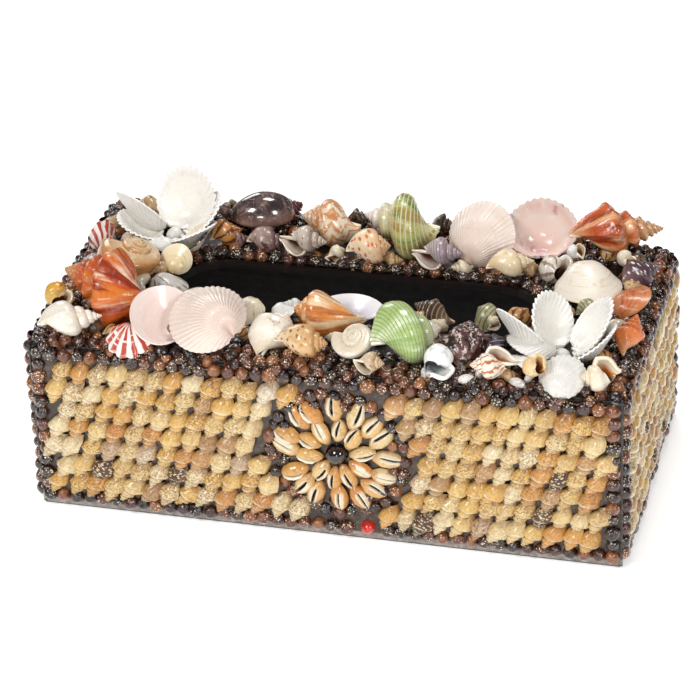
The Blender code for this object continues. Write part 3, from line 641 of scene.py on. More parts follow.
def set_stage():
    """A white floor, a white surrounding and soft boxes."""
    scene = bpy.context.scene
    scene.world = bpy.data.worlds.new("studio")
    scene.world.use_nodes = True
    sky = scene.world.node_tree.nodes["Background"]
    sky.inputs[0].default_value = (1, 1, 1, 1)
    sky.inputs[1].default_value = SKY_STRENGTH
    scene.view_settings.view_transform = "Standard"
    for name, (spot, size, power) in LIGHTS.items():
        data = bpy.data.lights.new(name, "AREA")
        data.shape = "RECTANGLE"
        data.size, data.size_y = size
        data.energy = power
        light = bpy.data.objects.new(name, data)
        away = Vector(spot) - Vector(LIT_SPOT)
        light.matrix_world = Matrix.Translation(spot) @ away.to_track_quat("Z", "Y").to_matrix().to_4x4()
        scene.collection.objects.link(light)
    p = Paint("pale_floor")
    shade = p.ramp(p.noise(2.0, 2), "0.3 f7f7f7, 0.7 fbfbfb")
    material = p.finish(shade, 0.6, p.noise(60, 2), 0.02)
    p.shader.inputs["Emission Color"].default_value = (1, 1, 1, 1)
    p.shader.inputs["Emission Strength"].default_value = FLOOR_GLOW
    line = np.linspace(-FLOOR_REACH, FLOOR_REACH, 9)
    points = stack(line[:, None], line[None, :], FLOOR_LEVEL).reshape(-1, 3)
    mesh = bpy.data.meshes.new("floor")
    mesh.from_pydata(points.tolist(), [], quads(9, 9).tolist())
    mesh.materials.append(material)
    floor = bpy.data.objects.new("floor", mesh)
    scene.collection.objects.link(floor)


# The four sides


FACES = {
    "front": (lambda u, v, out: (u, -DEPTH / 2 - GAP - out, v), LENGTH),
    "back": (lambda u, v, out: (-u, DEPTH / 2 + GAP + out, v), LENGTH),
    "right": (lambda u, v, out: (LENGTH / 2 + GAP + out, u, v), DEPTH),
    "left": (lambda u, v, out: (-LENGTH / 2 - GAP - out, -u, v), DEPTH),
    "top": (lambda u, v, out: (u, v, HEIGHT + GAP + out), LENGTH),
}


def face_matrix(face, u, v, out):
    """A frame on a face: X along it, Y up it, Z out of it."""
    place = FACES[face][0]
    middle = Vector(place(0, 0, 0))
    axes = [Vector(place(*axis)) - middle for axis in ((1, 0, 0), (0, 1, 0), (0, 0, 1))]
    matrix = Matrix(axes).transposed().to_4x4()
    matrix.translation = Vector(place(u, v, out))
    return matrix


def above(face):
    """Says which points lie outside a face."""
    base = Vector(FACES[face][0](0, 0, 0))
    away = Vector(FACES[face][0](0, 0, 1)) - base
    normal = np.array(away)
    level = float(base.dot(away))
    return lambda points: points @ normal > level - SINK


def border(face):
    """A side's width, its columns and rows of round shells, and how far apart they are."""
    width = FACES[face][1]
    columns = round(width / BEAD_PITCH)
    rows = round((HEIGHT - BARE_FOOT) / BEAD_PITCH)
    return width, columns, rows, width / columns, (HEIGHT - BARE_FOOT) / rows


def close_to(face, u, v, spot, reach):
    """Says whether a place lies near the medallion or the red bead, which are on the front."""
    return face == "front" and math.hypot(u - spot[0], v - spot[1]) < reach


def bead_row(skin, face, spots, rng, kinds, size=BEAD_RADIUS, out=0.0009):
    for u, v in spots:
        kind = kinds[rng.integers(len(kinds))]
        grow = size * rng.uniform(0.92, 1.10)
        spin = Matrix.Rotation(rng.uniform(0, ANY_ANGLE), 4, "Z")
        lean = spin @ Matrix.Rotation(rng.uniform(-0.5, 0.5), 4, "X")
        place = (u + rng.normal(0, 0.0002), v + rng.normal(0, 0.0002), out + rng.normal(0, 0.00025))
        matrix = face_matrix(face, *place) @ lean @ Matrix.Scale(grow, 4)
        skin.take(kind, matrix, rng.uniform(0, 1, 3), above(face))


def add_beads():
    """Round shells along the edges of the sides and the top, round the slot and the medallion."""
    rng = np.random.default_rng(11)
    dents = (0.08, 0.18, 0.28)
    kinds = [ball(8, 11, seed=k, dent=dents[k % 3], squash=0.96 + 0.03 * (k % 2)) for k in range(6)]
    small = ball(6, 9, seed=9)
    paints = [bead_paint()]
    for face in SIDES:
        width, columns, rows, step_u, step_v = border(face)
        spots = []
        for column in range(columns):
            for row in range(rows):
                u = (column + 0.5) * step_u - width / 2
                v = BARE_FOOT + (row + 0.5) * step_v
                outer = column in (0, columns - 1) or row in (0, rows - 1)
                if outer and not close_to(face, u, v, RED_BEAD, 0.0055):
                    spots.append((u, v))
        skin = Skin()
        bead_row(skin, face, spots, rng, kinds)
        for column in range(columns - 1):
            u = (column + 1) * step_u - width / 2 + rng.normal(0, 0.0003)
            lean = Matrix.Rotation(rng.uniform(0, ANY_ANGLE), 4, "X")
            grow = Matrix.Scale(EDGE_BEAD_RADIUS * rng.uniform(0.92, 1.1), 4)
            matrix = face_matrix(face, u, HEIGHT + 0.0006, 0.0006) @ lean @ grow
            skin.take(small, matrix, rng.uniform(0, 1, 3))
        make("round_shells_" + face, skin, paints, ["beads_" + face], "bead")
    columns = round(LENGTH / BEAD_PITCH)
    rows = round(DEPTH / BEAD_PITCH)
    spots = []
    for column in range(columns):
        for row in range(rows):
            if min(column, columns - 1 - column, row, rows - 1 - row) < RIM_BEADS:
                u = (column + 0.5) * LENGTH / columns - LENGTH / 2
                spots.append((u, (row + 0.5) * DEPTH / rows - DEPTH / 2))
    skin = Skin()
    bead_row(skin, "top", spots, rng, kinds)
    make("round_shells_top_edge", skin, paints, ["beads_top_edge"], "bead")
    skin = Skin()
    for reach, pitch, out in ((0.0079, 0.0064, 0.0004), (0.0200, 0.0067, 0.0)):
        spots = stadium(SLOT_LENGTH + reach, SLOT_WIDTH + reach, pitch)
        bead_row(skin, "top", spots, rng, kinds, SLOT_BEAD_RADIUS, out)
    make("round_shells_slot", skin, paints, ["beads_slot"], "bead")
    spots = []
    for ring, count in ((0.0312, 32), (0.0262, 26)):
        for k in range(count):
            angle = 2 * math.pi * (k + rng.uniform(-0.2, 0.2)) / count
            radius = ring + rng.normal(0, 0.0005)
            spots.append((MEDALLION[0] + radius * math.cos(angle), MEDALLION[1] + radius * math.sin(angle)))
    skin = Skin()
    bead_row(skin, "front", spots, rng, kinds, 0.0031, 0.0006)
    make("round_shells_medallion", skin, paints, ["medallion_beads"], "bead")


def stadium(length, width, pitch):
    """Spots evenly spaced round a round-ended slot."""
    straight = length - width
    around = 2 * straight + math.pi * width
    count = round(around / pitch)
    spots = []
    for k in range(count):
        run = k * around / count
        radius = width / 2
        if run < straight:
            spots.append((run - straight / 2, -radius))
        elif run < straight + math.pi * radius:
            angle = (run - straight) / radius - math.pi / 2
            spots.append((straight / 2 + radius * math.cos(angle), radius * math.sin(angle)))
        elif run < 2 * straight + math.pi * radius:
            spots.append((straight / 2 - (run - straight - math.pi * radius), radius))
        else:
            angle = (run - 2 * straight - math.pi * radius) / radius + math.pi / 2
            spots.append((-straight / 2 + radius * math.cos(angle), radius * math.sin(angle)))
    return spots


def bead_paint():
    """Dark brown glassy shell with browner ones among them, clusters of pale dots painted on as sparkling
    highlights, and lighter brown patches painted as an inner glow.
    """
    p = Paint("dark_round_shell", coat=1.0, ior=1.33)
    p.shader.inputs["Coat IOR"].default_value = 1.6
    tone = p.stray(p.mark(0, "tint"), 420, 3, 0.9)
    colour = p.ramp(tone, "0.12 140705, 0.45 331407, 0.75 602c12, 0.97 91582c")
    # painted highlight: pale sparkles, in clusters where the patch mask allows them
    painted_sparkle = p.step(p.cells(820), 0.34, 0.16)
    patch = p.step(p.plus(p.mark(1, "tint"), p.noise(300, 2)), 0.80, 1.05)
    colour = p.mix(p.times(painted_sparkle, patch), colour, "f4ddb6")
    # painted light: lighter brown patches standing for a glow inside the shell
    glow = p.step(p.noise(480, 4, rough=0.7), 0.56, 0.70, 0.0, 0.55)
    colour = p.mix(glow, colour, "7a4630")
    uneven = p.noise(620, 3, rough=0.65)
    p.bump(uneven, 0.42, 0.0008, "Coat Normal")
    return p.finish(colour, p.step(p.noise(800, 2), 0.3, 0.7, 0.12, 0.26), uneven, 0.60, 0.0010)


def snail_paint():
    """Small snails in cream, yellow, gold, orange and tan, speckled and streaked with brown, with painted
    shade at the neck and along the suture and a painted highlight along the crest.
    """
    p = Paint("golden_snail_shell", coat=0.45)
    base = p.ramp(p.mark(0, "tint"), "0 ebdcb6, 0.20 e6d09c, 0.40 e2c484, 0.58 e2bc6e, 0.72 dbaa59, "
                  "0.82 cf9049, 0.88 c9a677, 0.94 ad865b, 1 ece3cc")
    base = p.mix(p.step(p.stray(p.mark(0), 330, 3, 0.7), 0.35, 0.0), base, "ecdcb4")
    base = p.mix(p.step(p.noise(260, 4, warp=0.4), 0.50, 0.70, 0.0, 0.55), base, "b98a52")
    seed = p.times(p.mark(2, "tint"), 40.0)
    speck = p.step(p.noise(1.6, 4, p.grid(9.0, 16.0, seed), rough=0.75), 0.45, 0.58)
    amount = p.step(p.mark(1, "tint"), 0.0, 1.0, 0.25, 0.88)
    colour = p.mix(p.times(speck, amount), base, "7d5430")
    net = p.step(p.cells(1.0, p.grid(14.0, 18.0, seed)), 0.42, 0.30)
    rare = p.step(p.mark(1, "tint"), 0.972, 0.978)
    colour = p.mix(rare, colour, p.mix(net, "4a3020", "dcc79c"))
    lines = p.step(p.noise(1.0, 3, p.grid(1.5, 26.0, seed)), 0.50, 0.66, 0.0, 0.32)
    colour = p.mix(lines, colour, "a77a45")
    # painted shade: each whorl darkened from its middle towards its base and neck
    neck_shade = p.step(p.mark(0), 0.50, 0.90, 0.0, 0.60)
    colour = p.mix(neck_shade, colour, "a07a4a", "MULTIPLY")
    # painted shade: a dark brown line along the suture, where the whorls meet
    suture = p.step(p.mark(0), 0.10, 0.03, 0.0, 0.85)
    colour = p.mix(suture, colour, "6e4826")
    # painted highlight: a pale crescent along the shoulder of each whorl
    crest_highlight = p.step(p.off(p.mark(0), 0.17), 0.08, 0.02, 0.0, 0.60)
    colour = p.mix(crest_highlight, colour, "f4ead0")
    rough = p.step(p.noise(700, 3), 0.25, 0.75, 0.22, 0.46)
    return p.finish(colour, rough, p.noise(1.0, 3, p.grid(7.0, 24.0, seed)), 0.70, 0.0008)


def add_snail_fields():
    """Rows of small snails on the sides, shifted by a share of a step from row to row."""
    rng = np.random.default_rng(23)
    material = snail_paint()
    fine, plain = [], []
    for k in range(7):
        size = (0.0172 + 0.0006 * (k % 3), 0.0097 + 0.0003 * (k % 2))
        shape = (*size, 0.38 + 0.03 * (k % 3), (1.62, 0.22, 0.74))
        details = dict(wobble=0.035, seed=k, mouth=False, tip=0.44)
        ribs = (12 + k, 0.07) if k % 3 == 0 else (0, 0.0)
        fine.append(coil(*shape, whorls=3.4, steps=15, count=12, ribs=ribs, **details))
        plain.append(coil(*shape, whorls=2.8, steps=11, count=8, **details))
    for face in SIDES:
        kinds = plain if face in ("back", "left") else fine
        width, *_, step_u, step_v = border(face)
        end = width / 2 - step_u - GAP
        bottom = BARE_FOOT + step_v + GAP
        row_pitch = (HEIGHT - step_v - GAP - bottom) / SNAIL_ROWS
        extents = {"snails_" + face: (-end, end)}
        if face == "front":
            extents = {
                "snails_front_left": (-end, MEDALLION[0] - 0.012),
                "snails_front_right": (MEDALLION[0] + 0.012, end),
            }
        for name, (low, high) in extents.items():
            skin = Skin()
            count = round((high - low) / SNAIL_PITCH)
            pitch = (high - low) / count
            for row in range(SNAIL_ROWS):
                v = bottom + (row + 0.5) * row_pitch
                offset = (SNAIL_ROW_SHIFT * (row + 0.5)) % 1.0
                for column in range(-1, count + 1):
                    u = low + (column + offset) * pitch
                    inside = low + 0.04 * pitch <= u < high - 0.04 * pitch
                    taken = close_to(face, u, v, MEDALLION, MEDALLION_CLEARANCE)
                    taken = taken or close_to(face, u, v, RED_BEAD, RED_BEAD_CLEARANCE)
                    if inside and not taken:
                        lay_snail(skin, face, u, v, rng, kinds)
            make("small_" + name, skin, [material], [name], "golden_snail")


def lay_snail(skin, face, u, v, rng, kinds):
    """One small snail, its spire down and a little to the left, its base up to the right."""
    kind = kinds[rng.integers(len(kinds))]
    heading = SNAIL_HEADING + rng.normal(0, 7)
    size = rng.uniform(0.98, 1.12)
    out = 0.0014 if face == "front" else 0.0006
    place = (u + rng.normal(0, 0.0004), v + rng.normal(0, 0.0004), out + rng.normal(0, 0.0002))
    own = Matrix.Diagonal((1, 1, 0.94, 1)) @ turned(heading, 9 + rng.normal(0, 3), rng.uniform(-35, 35))
    matrix = face_matrix(face, *place) @ own @ Matrix.Scale(size, 4)
    skin.take(kind, matrix, rng.uniform(0, 1, 3), above(face))


def slit_shell(length, width, height, side=1, seed=0):
    """A small shell on its back about X, its mouth a long slit with rolled lips, its spire at -X.

    Marks: spire to canal, distance from the slit's middle (negative on the body's side), and its depth.
    """
    phase = np.random.default_rng(seed).uniform(0, ANY_ANGLE, 3)
    t = np.linspace(0, 1, 21)[:, None]
    v = np.linspace(-1, 1, 25)[None, :]
    along = [0, 0.05, 0.16, 0.35, 0.60, 0.82, 0.95, 1.0]
    half = np.interp(t, along, [0.03, 0.34, 0.62, 0.94, 1.0, 0.78, 0.44, 0.12]) * width / 2
    dome = np.sqrt(np.maximum(0, 1 - np.abs(v) ** 2.3))
    away = v - (0.20 + 0.22 * (0.5 - t) + 0.05 * np.sin(5 * t + phase[0]))
    open_part = ease(0.22, 0.40, t) * (1 - ease(0.90, 1.0, t))
    gap = np.exp(-((away / (0.12 + 0.06 * t)) ** 2)) * open_part
    lip = np.exp(-(((away - 0.30) / 0.15) ** 2)) * 0.16 + np.exp(-(((away + 0.26) / 0.10) ** 2)) * 0.05
    rings = 0.05 * np.sin(26 * t + 3 * v + phase[1]) * (1 - ease(0.22, 0.40, t))
    rings = rings + 0.02 * np.sin(9 * t + 4 * v + phase[2])
    z = height * (half / (width / 2)) ** 0.8 * (dome * (0.86 + rings) + lip * open_part - 0.75 * gap)
    points = stack((t - 0.5) * length, v * half * side, z)
    return Skin().add(points, stack(t, away, gap), quads(21, 25, flip=side < 0)).packed()


def petal_paint():
    """Cream and orange shells with thick pale lips round a slit that is painted dark as shade."""
    p = Paint("petal_shell", coat=0.4)
    body = p.ramp(p.mark(0, "tint"), "0 d9bf8c, 0.35 d8b070, 0.7 cf9a55, 1 d08a48")
    body = p.mix(p.step(p.noise(320, 4, warp=0.5), 0.50, 0.68, 0.0, 0.6), body, "a9713c")
    body = p.mix(p.step(p.mark(0), 0.30, 0.10, 0.0, 0.6), body, "b98552")
    away = p.stray(p.mark(1), 420, 3, 0.10)
    lips = p.times(p.step(away, -0.36, -0.26), p.step(away, 0.66, 0.50))
    lips = p.times(lips, p.step(p.mark(0), 0.22, 0.38))
    colour = p.mix(lips, body, "ebdfc6")
    # painted shade: the slit's dent is painted near black
    colour = p.mix(p.step(p.mark(2), 0.28, 0.62), colour, "3b2318")
    rough = p.step(p.noise(700, 3), 0.25, 0.75, 0.18, 0.36)
    return p.finish(colour, rough, p.noise(520, 4), 0.30, 0.0005)


def add_medallion():
    """Two rings of slit shells, the glossy bead in their middle and the red bead below."""
    rng = np.random.default_rng(5)
    kinds = []
    for k in range(6):
        side = (1, -1)[k % 2]
        kinds.append(slit_shell(0.0128 + 0.0005 * k, 0.0082 + 0.0003 * (k % 3), 0.0052, side, 40 + k))
    material = petal_paint()
    for name, count, radius, start, grow, out in (
        ("medallion_inner_shells", 10, 0.0126, 0.3, 0.90, 0.0014),
        ("medallion_outer_shells", 16, 0.0234, 0.0, 1.0, 0.0008),
    ):
        skin = Skin()
        for k in range(count):
            angle = 360 * (k + start) / count + rng.normal(0, 3)
            way = math.radians(angle)
            u = MEDALLION[0] + radius * math.cos(way) + rng.normal(0, 0.0004)
            v = MEDALLION[1] + radius * math.sin(way) + rng.normal(0, 0.0004)
            own = turned(angle + rng.normal(0, 9), rng.normal(-5, 3), rng.normal(0, 12))
            matrix = face_matrix("front", u, v, out) @ own @ Matrix.Scale(grow, 4)
            skin.take(kinds[rng.integers(6)], matrix, rng.uniform(0, 1, 3), above("front"))
        make(name + "_dressed", skin, [material], [name], "petal_shell")
    p = Paint("black_glass_bead", coat=1.0)
    colour = p.ramp(p.noise(260, 3), "0.3 0b0708, 0.7 221214")
    black = p.finish(colour, p.step(p.noise(900, 2), 0.3, 0.7, 0.04, 0.10), p.noise(500, 2), 0.04)
    p = Paint("red_bead", coat=0.8)
    colour = p.ramp(p.noise(350, 3), "0.3 b3150f, 0.6 d8281b, 0.8 e8563f")
    red = p.finish(colour, p.step(p.noise(900, 2), 0.3, 0.7, 0.12, 0.26), p.noise(420, 3), 0.2)
    smooth = ball(rings=18, sides=30, squash=0.98, seed=3)
    for name, (u, v), size, material, slot in (
        ("medallion_centre_bead", MEDALLION, 0.0104, black, "bead"),
        ("red_bead", RED_BEAD[:2], RED_BEAD[2], red, "red_bead"),
    ):
        skin = Skin()
        matrix = face_matrix("front", u, v, 0.0012) @ Matrix.Scale(size / 1.98, 4)
        skin.take(smooth, matrix, (0.2, 0.2, 0.2), above("front"))
        make(name + "_round", skin, [material], [name], slot)


def ripple(rng, u, v):
    """The sum of five waves over a face."""
    waves = rng.uniform((300, 300, 0, 0), (1500, 1500, 6, 6), (5, 4))
    return sum(np.sin(u * f + a) * np.sin(v * g + b) for f, g, a, b in waves)


def past(edge, value):
    """From 0 before an edge to 1 after it."""
    return ease(edge - GLUE_EDGE, edge + GLUE_EDGE, value)


def add_glue():
    """Grey-lilac glue, spread thin over each side and round the slot, in which the shells sit; along its
    foot a dark line is painted as the shadow under the box.
    """
    p = Paint("grey_glue", coat=0.35)
    colour = p.ramp(p.noise(240, 4), "0.25 1c120c, 0.5 3c2b20, 0.72 6b5645")
    colour = p.mix(p.step(p.noise(700, 3), 0.50, 0.62, 0, 0.8), colour, "2a1c16")
    height = p.put("ShaderNodeSeparateXYZ", [(0, p.place())]).outputs[2]
    strip = p.ramp(p.noise(420, 4), "0.3 6d635b, 0.5 8f867d, 0.7 b0a79e")
    colour = p.mix(p.step(height, 0.0046, 0.0034), colour, strip)
    # painted shadow: a dark line along the foot of each side, where the box meets the floor
    colour = p.mix(p.step(height, 0.0009, 0.0006), colour, "231a16")
    colour = p.mix(p.step(height, 0.0775, 0.0800, 0, 0.88), colour, "120b08")
    rough = p.step(p.noise(500, 3), 0.3, 0.7, 0.25, 0.5)
    material = p.finish(colour, rough, p.noise(380, 4), 0.6, 0.0008)
    rng = np.random.default_rng(77)
    skin = Skin()
    for face in SIDES:
        place, width = FACES[face]
        us = np.linspace(-width / 2 - GLUE_EDGE, width / 2 + GLUE_EDGE, int(width / 0.0026))
        u, v = np.meshgrid(us, np.linspace(0.0002, HEIGHT + GLUE_EDGE, 28), indexing="ij")
        out = (0.0007 + 0.00018 * ripple(rng, u, v)) * ease(0.0, 0.0012, v)
        out = out - 0.0009 * past(width / 2, np.abs(u)) - 0.0009 * past(HEIGHT, v)
        points = stack(*place(u, v, out))
        skin.add(points, points, quads(*u.shape))
    us = np.linspace(-LENGTH / 2 - GLUE_EDGE, LENGTH / 2 + GLUE_EDGE, 120)
    vs = np.linspace(-DEPTH / 2 - GLUE_EDGE, DEPTH / 2 + GLUE_EDGE, 60)
    u, v = np.meshgrid(us, vs, indexing="ij")
    out = 0.0010 + 0.00025 * ripple(rng, u, v)
    out = out - 0.0011 * np.maximum(past(LENGTH / 2, np.abs(u)), past(DEPTH / 2, np.abs(v)))
    points = stack(*FACES["top"][0](u, v, out))
    half = (SLOT_LENGTH - SLOT_WIDTH) / 2
    gap = np.hypot(np.maximum(np.abs(u) - half, 0), v)
    faces = quads(*u.shape)
    open_part = (gap.ravel()[faces] < SLOT_WIDTH / 2 + 0.0006).any(axis=1)
    skin.add(points, points, faces[~open_part])
    make("glue_bed", skin, [material], (), "bead")


# Smears of clear glue: place, length and width in metres, heading
HOT_GLUE = [
    (0.0660, -0.0640, 0.0080, 0.0040, 20),
    (0.0710, -0.0585, 0.0060, 0.0040, 70),
    (0.0885, -0.0630, 0.0090, 0.0045, -25),
    (0.0930, -0.0575, 0.0070, 0.0035, 60),
    (0.1055, -0.0630, 0.0070, 0.0040, 10),
    (0.0470, -0.0625, 0.0060, 0.0035, 100),
]


def add_hot_glue():
    """Smears of whitish clear glue between the shells at the front right."""
    p = Paint("clear_glue", coat=0.6)
    colour = p.ramp(p.noise(300, 3), "0.3 bdb5ab, 0.7 f1eeea")
    rough = p.step(p.noise(600, 2), 0.3, 0.7, 0.12, 0.30)
    material = p.finish(colour, rough, p.noise(420, 3), 0.5, 0.0008)
    lump = ball(10, 16, dent=0.3, seed=31)
    skin = Skin()
    for x, y, length, width, heading in HOT_GLUE:
        shape = turned(heading) @ Matrix.Diagonal((length / 2, width / 2, 0.0022, 1))
        skin.take(lump, Matrix.Translation((x, y, HEIGHT + 0.0036)) @ shape)
    make("clear_glue_smears", skin, [material], (), "white_cockle")


# The wreath. For each shell: form, place across and along the top from -1 to 1, length and width in metres,
# share of the spire, heading, pitch and roll in degrees, details, colours, layers of pattern, lip and throat

